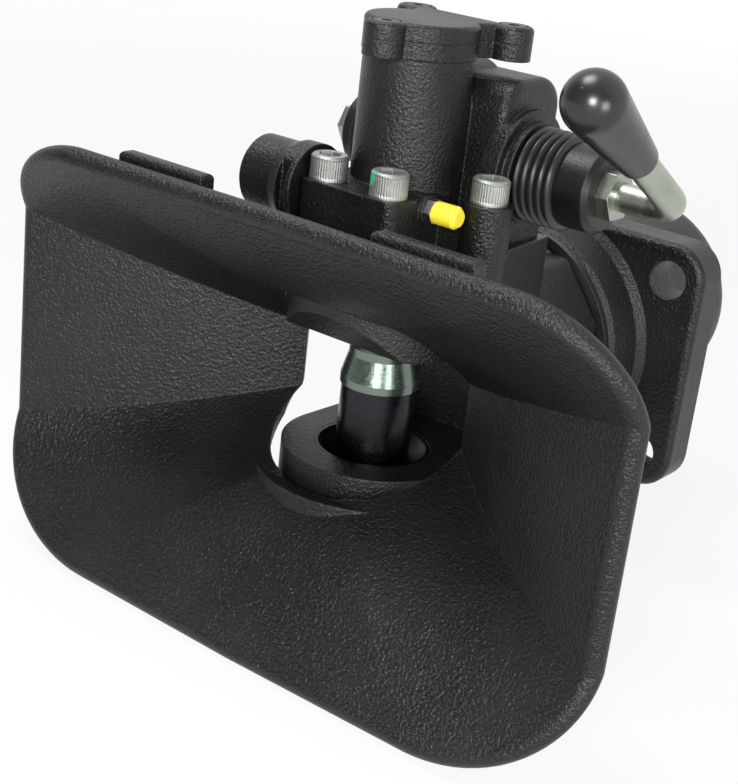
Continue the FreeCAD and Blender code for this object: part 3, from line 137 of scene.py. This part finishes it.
class CouplingSizes(bpy.types.PropertyGroup):
    """Sizes of the fine pieces, in metres."""

    bolt_head_radius: metres("Bolt head radius", "Knurled head of a housing bolt", 0.009)
    bolt_head_height: metres("Bolt head height", "Height of a housing bolt's head", 0.012)
    bolt_radius: metres("Bolt radius", "Shank of a housing bolt", 0.006)
    bolt_length: metres("Bolt length", "Length of a housing bolt's shank", 0.03)
    bolt_socket: metres("Bolt socket", "Width across the flats of the socket", 0.010)
    bolt_socket_depth: metres("Bolt socket depth", "Depth of the socket", 0.006)
    screw_head_radius: metres("Screw head radius", "Head of a lid screw", 0.0065)
    screw_head_height: metres("Screw head height", "Height of a lid screw's head", 0.005)
    screw_radius: metres("Screw radius", "Shank of a lid screw", 0.004)
    screw_length: metres("Screw length", "Length of a lid screw's shank", 0.011)
    screw_socket: metres("Screw socket", "Width across the flats of the socket", 0.005)
    screw_socket_depth: metres("Screw socket depth", "Depth of the socket", 0.003)
    knurls: IntProperty(name="Knurls", description="Ridges round a bolt head", default=44, min=12)
    knurl_depth: metres("Knurl depth", "Depth between two ridges", 0.00025)
    gaiter_ribs: IntProperty(name="Gaiter ribs", description="Folds of the gaiter", default=5, min=2)
    gaiter_fold: metres("Gaiter fold", "Depth of a fold", 0.004)


class CouplingStage(bpy.types.PropertyGroup):
    """Camera, floor and lights."""

    camera_place: FloatVectorProperty(name="Camera", description="Place of the camera",
                                      default=(0.43329, -0.76816, 0.27899), subtype="XYZ",
                                      unit="LENGTH")
    camera_turn: FloatVectorProperty(name="Camera turn",
                                     description="Azimuth, elevation and roll in degrees",
                                     default=(35.96, 21.09, 6.76))
    lens: FloatProperty(name="Lens", description="Focal length in millimetres", default=71.9,
                        unit="CAMERA")
    key_power: watts("Key", "Power of the front softbox", 22.0)
    top_power: watts("Top", "Power of the overhead softbox", 15.0)
    side_power: watts("Side", "Power of the side softbox", 9.0)
    fill: factor("Fill", "Strength of the even light from all round", 0.20)
    front_dim: factor("Front dimness", "What gloss sees of the room on the camera's side", 0.20)
    floor_white: factor("Floor white", "Share of plain white in the floor near the part", 0.88)


# Node building


def put(tree, kind, inputs=None, **settings):
    """Adds a node, applies its settings and fills its inputs with values or links."""
    node = tree.nodes.new(kind)
    for name, value in settings.items():
        setattr(node, name, value)
    for key, value in (inputs or {}).items():
        if isinstance(value, bpy.types.NodeSocket):
            tree.links.new(value, node.inputs[key])
        else:
            node.inputs[key].default_value = value
    return node


def maths(tree, operation, *values):
    """Result of a sum on numbers and sockets."""
    return put(tree, "ShaderNodeMath", dict(enumerate(values)), operation=operation).outputs[0]


def vector_maths(tree, operation, *values):
    """Result of a sum on vectors: a number for products and lengths, otherwise a vector."""
    node = put(tree, "ShaderNodeVectorMath", dict(enumerate(values)), operation=operation)
    gives_number = operation in {"DOT_PRODUCT", "DISTANCE", "LENGTH"}
    return node.outputs["Value" if gives_number else "Vector"]


def part_of(tree, vector, axis):
    """One of a vector's three numbers."""
    return put(tree, "ShaderNodeSeparateXYZ", {"Vector": vector}).outputs[axis]


def spread(tree, value, low, high, start=0.0, end=1.0):
    """Maps a value from one range to another, clamped at both ends."""
    node = put(tree, "ShaderNodeMapRange", {"Value": value, "From Min": low, "From Max": high,
                                            "To Min": start, "To Max": end})
    return node.outputs["Result"]


def opaque(tint):
    """A colour with full alpha; a socket passes as it is."""
    return tint if isinstance(tint, bpy.types.NodeSocket) else (*tint, 1.0)


def blend_colours(tree, share, first, second):
    """Goes from the first colour to the second as the share grows."""
    node = put(tree, "ShaderNodeMix", {0: share, 6: opaque(first), 7: opaque(second)},
               data_type="RGBA")
    return node.outputs[2]


def noise(tree, place, scale, **more):
    """Value of a noise texture."""
    inputs = {"Vector": place, "Scale": scale, **more}
    return put(tree, "ShaderNodeTexNoise", inputs).outputs["Fac"]


def new_group(name, kind, inputs, outputs):
    """Node group with named sockets, with its input and output nodes."""
    tree = bpy.data.node_groups.new(name, kind)
    for label, socket in inputs.items():
        tree.interface.new_socket(label, in_out="INPUT", socket_type=socket)
    for label, socket in outputs.items():
        tree.interface.new_socket(label, in_out="OUTPUT", socket_type=socket)
    return tree, tree.nodes.new("NodeGroupInput"), tree.nodes.new("NodeGroupOutput")


def use_group(tree, make, name, **inputs):
    """Places a shared shader group, made at its first use, and returns its outputs."""
    group = bpy.data.node_groups.get(name) or make(name)
    return put(tree, "ShaderNodeGroup", inputs, node_tree=group).outputs


# Shader groups shared by the finishes


def grain_group(name):
    """Rounded bumps of a surface cast in sand, with a finer orange peel on top."""
    tree, given, result = new_group(
        name, "ShaderNodeTree",
        {"Place": "NodeSocketVector", "Size": "NodeSocketFloat"},
        {"Height": "NodeSocketFloat", "Tone": "NodeSocketFloat"})
    peel_fineness = 2.7
    peel_height = 0.3
    tone_fineness = 0.03
    place = given.outputs["Place"]
    per_metre = maths(tree, "DIVIDE", 1.0, given.outputs["Size"])
    coarse = noise(tree, place, per_metre, Detail=2.0, Roughness=0.55)
    fine = noise(tree, place, maths(tree, "MULTIPLY", per_metre, peel_fineness), Detail=1.0)
    bumps = maths(tree, "MULTIPLY_ADD", fine, peel_height, coarse)
    broad = noise(tree, place, maths(tree, "MULTIPLY", per_metre, tone_fineness), Detail=3.0)
    tree.links.new(bumps, result.inputs["Height"])
    tree.links.new(broad, result.inputs["Tone"])
    return tree


def edge_highlight_group(name):
    """Mask of the outer edges for a painted highlight, broken up in patches like rubbed paint."""
    tree, given, result = new_group(
        name, "ShaderNodeTree",
        {"Place": "NodeSocketVector", "Width": "NodeSocketFloat"},
        {"Mask": "NodeSocketFloat"})
    still_flat = 0.97
    full_edge = 0.80
    patches_per_metre = 160.0
    rounded = put(tree, "ShaderNodeBevel", {"Radius": given.outputs["Width"]}, samples=6)
    flat = put(tree, "ShaderNodeNewGeometry")
    same = vector_maths(tree, "DOT_PRODUCT", rounded.outputs["Normal"], flat.outputs["Normal"])
    edge = spread(tree, same, still_flat, full_edge)
    patches = noise(tree, given.outputs["Place"], patches_per_metre, Detail=4.0, Roughness=0.65)
    highlit_edge = maths(tree, "MULTIPLY", edge, spread(tree, patches, 0.42, 0.62))
    tree.links.new(highlit_edge, result.inputs["Mask"])
    return tree


def smear_group(name):
    """Soft cloudy variation for plated and moulded surfaces."""
    tree, given, result = new_group(
        name, "ShaderNodeTree",
        {"Place": "NodeSocketVector", "Scale": "NodeSocketFloat"},
        {"Cloud": "NodeSocketFloat", "Fine": "NodeSocketFloat"})
    fineness = 22.0
    place = given.outputs["Place"]
    scale = given.outputs["Scale"]
    cloud = noise(tree, place, scale, Detail=4.0, Distortion=0.6)
    fine = noise(tree, place, maths(tree, "MULTIPLY", scale, fineness), Detail=2.0)
    tree.links.new(cloud, result.inputs["Cloud"])
    tree.links.new(fine, result.inputs["Fine"])
    return tree


# Materials


def new_material(name, **constants):
    """Material with a principled shader whose plain values are set on its own sockets."""
    material = bpy.data.materials.new(name)
    material.use_nodes = True
    tree = material.node_tree
    shader = tree.nodes["Principled BSDF"]
    for socket, value in constants.items():
        shader.inputs[socket.replace("_", " ")].default_value = value
    place = put(tree, "ShaderNodeTexCoord").outputs["Object"]
    return material, tree, shader, place


def bump(tree, shader, height, strength, distance, round_edge):
    """Feeds the shader's normal with a bump over slightly rounded edges."""
    rounded = put(tree, "ShaderNodeBevel", {"Radius": round_edge}, samples=6)
    node = put(tree, "ShaderNodeBump", {"Strength": strength, "Distance": distance,
                                        "Height": height, "Normal": rounded.outputs["Normal"]})
    tree.links.new(node.outputs["Normal"], shader.inputs["Normal"])


def paint_material(name, grain, depth, edge):
    """Semi-gloss black paint over a casting, with a grey painted highlight along the edges, broken up
    like rubbed paint.
    """
    looks = bpy.context.scene.coupling_finishes
    most_edge_highlight = 0.55
    most_mottled = 0.08
    material, tree, shader, place = new_material(name, Specular_IOR_Level=looks.paint_gloss)
    bumps = use_group(tree, grain_group, "Cast grain", Place=place, Size=grain)
    highlit_edge = use_group(tree, edge_highlight_group, "Edge highlight", Place=place, Width=edge)
    mottled = blend_colours(tree, spread(tree, bumps["Tone"], 0.35, 0.7, 0.0, most_mottled),
                            looks.paint, looks.grey_mottle_and_edge_highlight)
    # Grey on the edges is a painted highlight, laid on in patches like rubbed paint
    highlit_paint = blend_colours(tree, maths(tree, "MULTIPLY", highlit_edge["Mask"], most_edge_highlight),
                           mottled, looks.grey_mottle_and_edge_highlight)
    tree.links.new(highlit_paint, shader.inputs["Base Color"])
    dull = spread(tree, bumps["Tone"], 0.3, 0.7, looks.paint_roughness - 0.05,
                  looks.paint_roughness + 0.07)
    tree.links.new(dull, shader.inputs["Roughness"])
    bump(tree, shader, bumps["Height"], strength=0.7, distance=depth, round_edge=0.0012)
    return material


def metal_material(name, tint, roughness, scale, cloudiness):
    """Plated or machined metal with a clouded tint."""
    darkening = 0.62
    material, tree, shader, place = new_material(name, Metallic=1.0)
    smears = use_group(tree, smear_group, "Smears", Place=place, Scale=scale)
    dark = [darkening * part for part in tint]
    share = spread(tree, smears["Cloud"], 0.35, 0.72, 0.0, cloudiness)
    tree.links.new(blend_colours(tree, share, tint, dark), shader.inputs["Base Color"])
    dull = spread(tree, smears["Fine"], 0.3, 0.7, roughness - 0.06, roughness + 0.08)
    tree.links.new(dull, shader.inputs["Roughness"])
    bump(tree, shader, smears["Fine"], strength=0.12, distance=0.0001, round_edge=0.0006)
    return material


def moulded_material(name, tint, roughness):
    """Moulded plastic or rubber with a soft sheen and faint handling marks."""
    paling = 1.5
    haze = 0.004
    marks = 0.35
    material, tree, shader, place = new_material(name)
    smears = use_group(tree, smear_group, "Smears", Place=place, Scale=70.0)
    pale = [min(1.0, paling * part + haze) for part in tint]
    share = spread(tree, smears["Cloud"], 0.4, 0.75, 0.0, marks)
    tree.links.new(blend_colours(tree, share, tint, pale), shader.inputs["Base Color"])
    dull = spread(tree, smears["Cloud"], 0.3, 0.7, roughness - 0.04, roughness + 0.06)
    tree.links.new(dull, shader.inputs["Roughness"])
    bump(tree, shader, smears["Fine"], strength=0.1, distance=0.00008, round_edge=0.0006)
    return material


def opened(material):
    """A finish's tree and shader, the colour that feeds the shader, and the place on the part."""
    tree = material.node_tree
    shader = tree.nodes["Principled BSDF"]
    base = shader.inputs["Base Color"].links[0].from_socket
    place = tree.nodes["Texture Coordinate"].outputs["Object"]
    return tree, shader, base, place


def pin_material():
    """Plated barrel above the step, a darker band below it, then a near-black spigot, set by height.
    """
    looks = bpy.context.scene.coupling_finishes
    step_level = -0.0020
    step_blur = 0.0002
    spigot_level = -0.0150
    spigot_blur = 0.0020
    material = metal_material("Plated pin", looks.pin_zinc, roughness=0.26, scale=30.0,
                              cloudiness=0.5)
    tree, shader, plating, place = opened(material)
    height = part_of(tree, place, "Z")
    below_step = spread(tree, height, step_level + step_blur, step_level - step_blur)
    banded = blend_colours(tree, below_step, plating, looks.pin_band)
    on_spigot = spread(tree, height, spigot_level + spigot_blur, spigot_level - spigot_blur)
    spigot_darkened = blend_colours(tree, on_spigot, banded, looks.pin_spigot)
    tree.links.new(spigot_darkened, shader.inputs["Base Color"])
    return material


def bolt_material():
    """Zinc with a ragged green paint dab on each marked head."""
    looks = bpy.context.scene.coupling_finishes
    dab_reach = 0.0062
    dab_core = 0.0050
    raggedness = 0.004
    material = metal_material("Zinc bolts", looks.zinc, roughness=0.5, scale=90.0, cloudiness=0.5)
    tree, shader, plating, place = opened(material)
    ragged = noise(tree, place, 500.0, Detail=3.0)
    dabs = 0.0
    for spot in DAB_SPOTS:
        away = vector_maths(tree, "DISTANCE", place, spot)
        rough = maths(tree, "MULTIPLY_ADD", ragged, raggedness, away)
        dabs = maths(tree, "MAXIMUM", dabs, spread(tree, rough, dab_reach, dab_core))
    tree.links.new(blend_colours(tree, dabs, plating, looks.dab), shader.inputs["Base Color"])
    tree.links.new(maths(tree, "SUBTRACT", 1.0, dabs), shader.inputs["Metallic"])
    return material


def dress(nodes, material):
    """Gives bare solids a finish."""
    for name in nodes:
        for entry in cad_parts[name].material_slots:
            entry.material = material


# Grown pieces


def drawn_in(tree, mesh, place, radius, inset):
    """Moves the wall of a cylinder along Z towards its axis, by an inset that may vary."""
    inwards = vector_maths(tree, "MULTIPLY", place, (-1.0, -1.0, 0.0))
    share = maths(tree, "DIVIDE", inset, radius)
    offset = put(tree, "ShaderNodeVectorMath", {0: inwards, "Scale": share}, operation="SCALE")
    moved = put(tree, "GeometryNodeSetPosition", {"Geometry": mesh,
                                                  "Offset": offset.outputs["Vector"]})
    return moved.outputs["Geometry"]


def raised(tree, mesh, height):
    """Shifts a mesh along Z."""
    shift = put(tree, "ShaderNodeCombineXYZ", {"Z": height}).outputs[0]
    moved = put(tree, "GeometryNodeTransform", {"Geometry": mesh, "Translation": shift})
    return moved.outputs["Geometry"]


def copy_to_points(tree, given, result, mesh):
    """Ends a tree with one real copy of the mesh on each point, in the tree's material."""
    copies = put(tree, "GeometryNodeInstanceOnPoints", {
        "Points": given.outputs["Geometry"], "Instance": mesh})
    real = put(tree, "GeometryNodeRealizeInstances", {"Geometry": copies.outputs["Instances"]})
    coated = put(tree, "GeometryNodeSetMaterial", {"Geometry": real.outputs["Geometry"],
                                                   "Material": given.outputs["Material"]})
    tree.links.new(coated.outputs["Geometry"], result.inputs["Geometry"])


def socket_bolt_tree():
    """Socket-head bolts with a knurled rim, one standing on each point."""
    tree, given, result = new_group("Socket bolts", "GeometryNodeTree", {
        "Geometry": "NodeSocketGeometry",
        "Head radius": "NodeSocketFloat",
        "Head height": "NodeSocketFloat",
        "Shank radius": "NodeSocketFloat",
        "Shank length": "NodeSocketFloat",
        "Socket width": "NodeSocketFloat",
        "Socket depth": "NodeSocketFloat",
        "Knurls": "NodeSocketInt",
        "Knurl depth": "NodeSocketFloat",
        "Material": "NodeSocketMaterial",
    }, {"Geometry": "NodeSocketGeometry"})
    sizes = given.outputs
    # Shares of the head's height, from its top
    knurls_start = 0.12
    knurls_end = 0.9
    top_ring = 0.02
    chamfer = 0.16
    half = maths(tree, "MULTIPLY", sizes["Head height"], 0.5)
    head = put(tree, "GeometryNodeMeshCylinder", {
        "Vertices": maths(tree, "MULTIPLY", sizes["Knurls"], 2.0), "Side Segments": 12,
        "Radius": sizes["Head radius"], "Depth": sizes["Head height"]})
    place = put(tree, "GeometryNodeInputPosition").outputs[0]
    number = put(tree, "GeometryNodeInputIndex").outputs[0]
    from_top = maths(tree, "DIVIDE", maths(tree, "SUBTRACT", half, part_of(tree, place, "Z")),
                     sizes["Head height"])
    on_rim = maths(tree, "MULTIPLY", maths(tree, "GREATER_THAN", from_top, knurls_start),
                   maths(tree, "LESS_THAN", from_top, knurls_end))
    valley = maths(tree, "MULTIPLY", maths(tree, "MODULO", number, 2.0), on_rim)
    on_top = maths(tree, "LESS_THAN", from_top, top_ring)
    slope = maths(tree, "MULTIPLY", on_top, maths(tree, "MULTIPLY", half, chamfer))
    inset = maths(tree, "MULTIPLY_ADD", valley, sizes["Knurl depth"], slope)
    knurled = drawn_in(tree, head.outputs["Mesh"], place, sizes["Head radius"], inset)
    socket = put(tree, "GeometryNodeMeshCylinder", {
        "Vertices": 6, "Radius": maths(tree, "DIVIDE", sizes["Socket width"], math.sqrt(3)),
        "Depth": maths(tree, "MULTIPLY", sizes["Socket depth"], 2.0)})
    hollow = put(tree, "GeometryNodeMeshBoolean", {
        "Mesh 1": knurled, "Mesh 2": raised(tree, socket.outputs["Mesh"], half)},
        operation="DIFFERENCE")
    shank = put(tree, "GeometryNodeMeshCylinder", {
        "Vertices": 32, "Radius": sizes["Shank radius"], "Depth": sizes["Shank length"]})
    shank_middle = maths(tree, "MULTIPLY", sizes["Shank length"], -0.5)
    bolt = put(tree, "GeometryNodeJoinGeometry")
    for mesh in (raised(tree, hollow.outputs["Mesh"], half),
                 raised(tree, shank.outputs["Mesh"], shank_middle)):
        tree.links.new(mesh, bolt.inputs["Geometry"])
    copy_to_points(tree, given, result, bolt.outputs["Geometry"])
    return tree


def gaiter_tree():
    """Rubber gaiter along X whose wall swells and draws in once for each rib."""
    tree, given, result = new_group("Ribbed gaiter", "GeometryNodeTree", {
        "Geometry": "NodeSocketGeometry",
        "Length": "NodeSocketFloat",
        "Radius": "NodeSocketFloat",
        "Fold": "NodeSocketFloat",
        "Ribs": "NodeSocketInt",
        "Material": "NodeSocketMaterial",
    }, {"Geometry": "NodeSocketGeometry"})
    sizes = given.outputs
    rings_per_rib = 16.0
    fullness = 0.6
    wall = put(tree, "GeometryNodeMeshCylinder", {
        "Vertices": 96, "Side Segments": maths(tree, "MULTIPLY", sizes["Ribs"], rings_per_rib),
        "Radius": sizes["Radius"], "Depth": sizes["Length"]})
    place = put(tree, "GeometryNodeInputPosition").outputs[0]
    along = maths(tree, "DIVIDE", part_of(tree, place, "Z"), sizes["Length"])
    ribs_along = maths(tree, "MULTIPLY_ADD", along, sizes["Ribs"],
                       maths(tree, "MULTIPLY", sizes["Ribs"], 0.5))
    wave = maths(tree, "SINE", maths(tree, "MULTIPLY", ribs_along, math.pi))
    swell = maths(tree, "POWER", maths(tree, "ABSOLUTE", wave), fullness)
    inset = maths(tree, "MULTIPLY", maths(tree, "SUBTRACT", 1.0, swell), sizes["Fold"])
    folded = drawn_in(tree, wall.outputs["Mesh"], place, sizes["Radius"], inset)
    laid = put(tree, "GeometryNodeTransform", {"Geometry": folded,
                                               "Rotation": (0.0, math.pi / 2, 0.0)})
    smooth = put(tree, "GeometryNodeSetShadeSmooth", {"Geometry": laid.outputs["Geometry"]})
    copy_to_points(tree, given, result, smooth.outputs["Geometry"])
    return tree


def grown(name, tree, places, inputs):
    """Runs a geometry tree on points and returns its result as a plain mesh."""
    points = bpy.data.meshes.new(f"{name}_points")
    points.from_pydata([tuple(place) for place in places], [], [])
    carrier = bpy.data.objects.new(f"{name}_carrier", points)
    bpy.context.scene.collection.objects.link(carrier)
    modifier = carrier.modifiers.new("grow", "NODES")
    modifier.node_group = tree
    for item in tree.interface.items_tree:
        if item.in_out == "INPUT" and item.name in inputs:
            modifier[item.identifier] = inputs[item.name]
    scene_graph = bpy.context.evaluated_depsgraph_get()
    mesh = bpy.data.meshes.new_from_object(carrier.evaluated_get(scene_graph))
    mesh.name = name
    carrier.modifiers.remove(modifier)
    bpy.data.objects.remove(carrier)
    return mesh


def new_piece(mesh, body, node):
    """Adds a grown mesh as a piece that rides on a body in place of a bare solid."""
    piece = bpy.data.objects.new(mesh.name, mesh)
    bpy.context.scene.collection.objects.link(piece)
    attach(piece, body)
    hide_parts(node)


# Stage


def backdrop_share(tree):
    """One for rays that look at the backdrop: from the camera, and off gloss and glass."""
    path = put(tree, "ShaderNodeLightPath").outputs
    mirrored = maths(tree, "MAXIMUM", path["Is Glossy Ray"], path["Is Transmission Ray"])
    return path["Is Camera Ray"], mirrored


def build_floor(level, near_white):
    """Pale floor that keeps the part's shadow and fades into the white backdrop."""
    reach = 6.0
    fade_start = 0.6
    fade_end = 2.5
    pale = (0.75, 0.75, 0.75)
    corners = [(-reach, -reach, level), (reach, -reach, level), (reach, reach, level),
               (-reach, reach, level)]
    mesh = bpy.data.meshes.new("floor")
    mesh.from_pydata(corners, [], [(0, 1, 2, 3)])
    floor = bpy.data.objects.new("floor", mesh)
    bpy.context.scene.collection.objects.link(floor)
    material = bpy.data.materials.new("Pale floor")
    material.use_nodes = True
    tree = material.node_tree
    tree.nodes.clear()
    matt = put(tree, "ShaderNodeBsdfDiffuse", {"Color": opaque(pale)})
    white = put(tree, "ShaderNodeEmission", {"Color": opaque(WHITE), "Strength": 1.0})
    seen = maths(tree, "MAXIMUM", *backdrop_share(tree))
    place = put(tree, "ShaderNodeTexCoord").outputs["Object"]
    away = vector_maths(tree, "LENGTH", place)
    whiteness = spread(tree, away, fade_start, fade_end, near_white, 1.0)
    mix = put(tree, "ShaderNodeMixShader", {0: maths(tree, "MULTIPLY", seen, whiteness),
                                            1: matt.outputs[0], 2: white.outputs[0]})
    put(tree, "ShaderNodeOutputMaterial", {"Surface": mix.outputs[0]})
    mesh.materials.append(material)


def build_sky(fill, front_dim):
    """White backdrop behind the part, a dimmer room on the camera's side, an even fill."""
    half_change = 0.30
    world = bpy.context.scene.world or bpy.data.worlds.new("World")
    bpy.context.scene.world = world
    world.use_nodes = True
    tree = world.node_tree
    tree.nodes.clear()
    camera, gloss = backdrop_share(tree)
    heading = put(tree, "ShaderNodeTexCoord").outputs["Generated"]
    backwards = part_of(tree, heading, "Y")
    room = spread(tree, backwards, -half_change, half_change, front_dim, 1.0)
    mirrored = put(tree, "ShaderNodeMix", {0: gloss, 2: fill, 3: room}).outputs[0]
    strength = maths(tree, "MAXIMUM", mirrored, camera)
    sky = put(tree, "ShaderNodeBackground", {"Color": opaque(WHITE), "Strength": strength})
    put(tree, "ShaderNodeOutputWorld", {"Surface": sky.outputs[0]})


def softbox(name, place, side, power):
    """Square soft lamp that points at the part."""
    lamp = bpy.data.lights.new(name, "AREA")
    lamp.energy = power
    lamp.size = side
    item = bpy.data.objects.new(name, lamp)
    item.location = place
    aim = LAMP_TARGET - Vector(place)
    item.rotation_euler = aim.to_track_quat("-Z", "Y").to_euler()
    bpy.context.scene.collection.objects.link(item)


def build_camera(stage):
    """Camera at the place and turn that were fitted to the picture."""
    azimuth, elevation, roll = (math.radians(angle) for angle in stage.camera_turn)
    back = Vector((math.sin(azimuth) * math.cos(elevation),
                   -math.cos(azimuth) * math.cos(elevation), math.sin(elevation)))
    right = (-back).cross(Vector((0.0, 0.0, 1.0))).normalized()
    up = right.cross(-back)
    across = right * math.cos(roll) + up * math.sin(roll)
    upright = up * math.cos(roll) - right * math.sin(roll)
    lens = bpy.data.cameras.new("camera")
    lens.lens = stage.lens
    lens.sensor_width = 36.0
    camera = bpy.data.objects.new("camera", lens)
    turn = Matrix((across, upright, back)).transposed()
    camera.matrix_world = Matrix.Translation(stage.camera_place) @ turn.to_4x4()
    bpy.context.scene.collection.objects.link(camera)
    bpy.context.scene.camera = camera


# Operators


class CouplingPaintCastings(bpy.types.Operator):
    """Paint the castings, the funnel and the turned parts black"""

    bl_idname = "coupling.paint_castings"
    bl_label = "Paint castings"

    def execute(self, context):
        grain = context.scene.coupling_finishes.grain
        dress(CASTINGS, paint_material("Black paint", grain, depth=0.0009, edge=0.002))
        dress(["funnel"], paint_material("Black paint on funnel", 1.1 * grain, depth=0.0014,
                                         edge=0.003))
        dress(TURNED, paint_material("Black paint on turned parts", 0.5 * grain, depth=0.0002,
                                     edge=0.001))
        return {"FINISHED"}


class CouplingPlateSteel(bpy.types.Operator):
    """Give pin, rod, bushes and hidden steel their plated or machined finish"""

    bl_idname = "coupling.plate_steel"
    bl_label = "Plate steel"

    def execute(self, context):
        looks = context.scene.coupling_finishes
        dress(["coupling_pin"], pin_material())
        dress(PLATED, metal_material("Zinc rod", looks.rod_zinc, roughness=0.36, scale=45.0,
                                     cloudiness=0.5))
        dress(MACHINED, metal_material("Machined steel", looks.steel, roughness=0.3, scale=80.0,
                                       cloudiness=0.3))
        dress(BRONZE, metal_material("Bearing bronze", looks.bronze, roughness=0.35, scale=80.0,
                                     cloudiness=0.4))
        # The seat takes the near-black colour of the pin's spigot
        dress(["lower_bush"], metal_material("Near-black bush", looks.pin_spigot, roughness=0.4,
                                             scale=60.0, cloudiness=0.5))
        return {"FINISHED"}


class CouplingMouldRubber(bpy.types.Operator):
    """Give the seal, the nipple's cap and the lever's grip their rubber and plastic"""

    bl_idname = "coupling.mould_rubber"
    bl_label = "Mould rubber and plastic"

    def execute(self, context):
        looks = context.scene.coupling_finishes
        dress(["dust_seal"], moulded_material("Seal rubber", looks.rubber, roughness=0.3))
        dress(["nipple_cap"], moulded_material("Yellow cap", looks.cap, roughness=0.38))
        dress(["lever_grip"], moulded_material("Grip plastic", looks.grip, roughness=0.26))
        return {"FINISHED"}


class CouplingMakeBolts(bpy.types.Operator):
    """Grow the knurled housing bolts and the lid screws"""

    bl_idname = "coupling.make_bolts"
    bl_label = "Make bolts and lid screws"

    def execute(self, context):
        sizes = context.scene.coupling_sizes
        tree = socket_bolt_tree()
        knurling = {"Knurls": sizes.knurls, "Knurl depth": sizes.knurl_depth}
        bolts = grown("knurled_bolts", tree, BOLT_SEATS, {
            "Head radius": sizes.bolt_head_radius, "Head height": sizes.bolt_head_height,
            "Shank radius": sizes.bolt_radius, "Shank length": sizes.bolt_length,
            "Socket width": sizes.bolt_socket, "Socket depth": sizes.bolt_socket_depth,
            "Material": bolt_material(), **knurling})
        new_piece(bolts, "head", "housing_bolts")
        painted = paint_material("Black paint on lid screws", 0.0008, depth=0.0002, edge=0.0008)
        screws = grown("lid_screws", tree, SCREW_SEATS, {
            "Head radius": sizes.screw_head_radius, "Head height": sizes.screw_head_height,
            "Shank radius": sizes.screw_radius, "Shank length": sizes.screw_length,
            "Socket width": sizes.screw_socket, "Socket depth": sizes.screw_socket_depth,
            "Material": painted, **knurling})
        new_piece(screws, "head", "cover_screws")
        return {"FINISHED"}


class CouplingMakeGaiter(bpy.types.Operator):
    """Grow the rubber gaiter on the lever shaft"""

    bl_idname = "coupling.make_gaiter"
    bl_label = "Make gaiter"

    def execute(self, context):
        sizes = context.scene.coupling_sizes
        looks = context.scene.coupling_finishes
        low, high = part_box("bellows")
        gaiter = grown("ribbed_gaiter", gaiter_tree(), [(low + high) / 2], {
            "Length": high.x - low.x, "Radius": (high.y - low.y) / 2,
            "Fold": sizes.gaiter_fold, "Ribs": sizes.gaiter_ribs,
            "Material": moulded_material("Gaiter rubber", looks.rubber, roughness=0.34)})
        new_piece(gaiter, "head", "bellows")
        return {"FINISHED"}


class CouplingBuildStage(bpy.types.Operator):
    """Set the floor, the lights, the sky and the camera"""

    bl_idname = "coupling.build_stage"
    bl_label = "Build stage"

    def execute(self, context):
        stage = context.scene.coupling_stage
        build_floor(CAD_BOX[0].z, stage.floor_white)
        build_sky(stage.fill, stage.front_dim)
        softbox("front_softbox", place=(0.62, -1.38, 0.50), side=0.4, power=stage.key_power)
        softbox("top_softbox", place=(-0.35, -0.35, 1.4), side=0.6, power=stage.top_power)
        softbox("side_softbox", place=(1.30, -0.75, 0.25), side=0.5, power=stage.side_power)
        build_camera(stage)
        context.scene.view_settings.view_transform = "Standard"
        return {"FINISHED"}


class CouplingPanel(bpy.types.Panel):
    """Steps that dress the coupling, in their order"""

    bl_idname = "VIEW3D_PT_coupling"
    bl_label = "Coupling"
    bl_space_type = "VIEW_3D"
    bl_region_type = "UI"
    bl_category = "Coupling"

    def draw(self, context):
        for step in STEPS:
            self.layout.operator(step.bl_idname)


STEPS = [CouplingPaintCastings, CouplingPlateSteel, CouplingMouldRubber, CouplingMakeBolts,
         CouplingMakeGaiter, CouplingBuildStage]
GROUPS = {"coupling_finishes": CouplingFinishes, "coupling_sizes": CouplingSizes,
          "coupling_stage": CouplingStage}


def register():
    for item in [*GROUPS.values(), *STEPS, CouplingPanel]:
        bpy.utils.register_class(item)
    for name, group in GROUPS.items():
        setattr(bpy.types.Scene, name, PointerProperty(type=group))


def unregister():
    for name in GROUPS:
        delattr(bpy.types.Scene, name)
    for item in [CouplingPanel, *STEPS, *GROUPS.values()]:
        bpy.utils.unregister_class(item)


def main():
    register()
    bpy.ops.coupling.paint_castings()
    bpy.ops.coupling.plate_steel()
    bpy.ops.coupling.mould_rubber()
    bpy.ops.coupling.make_bolts()
    bpy.ops.coupling.make_gaiter()
    bpy.ops.coupling.build_stage()


if __name__ == "__main__":
    main()
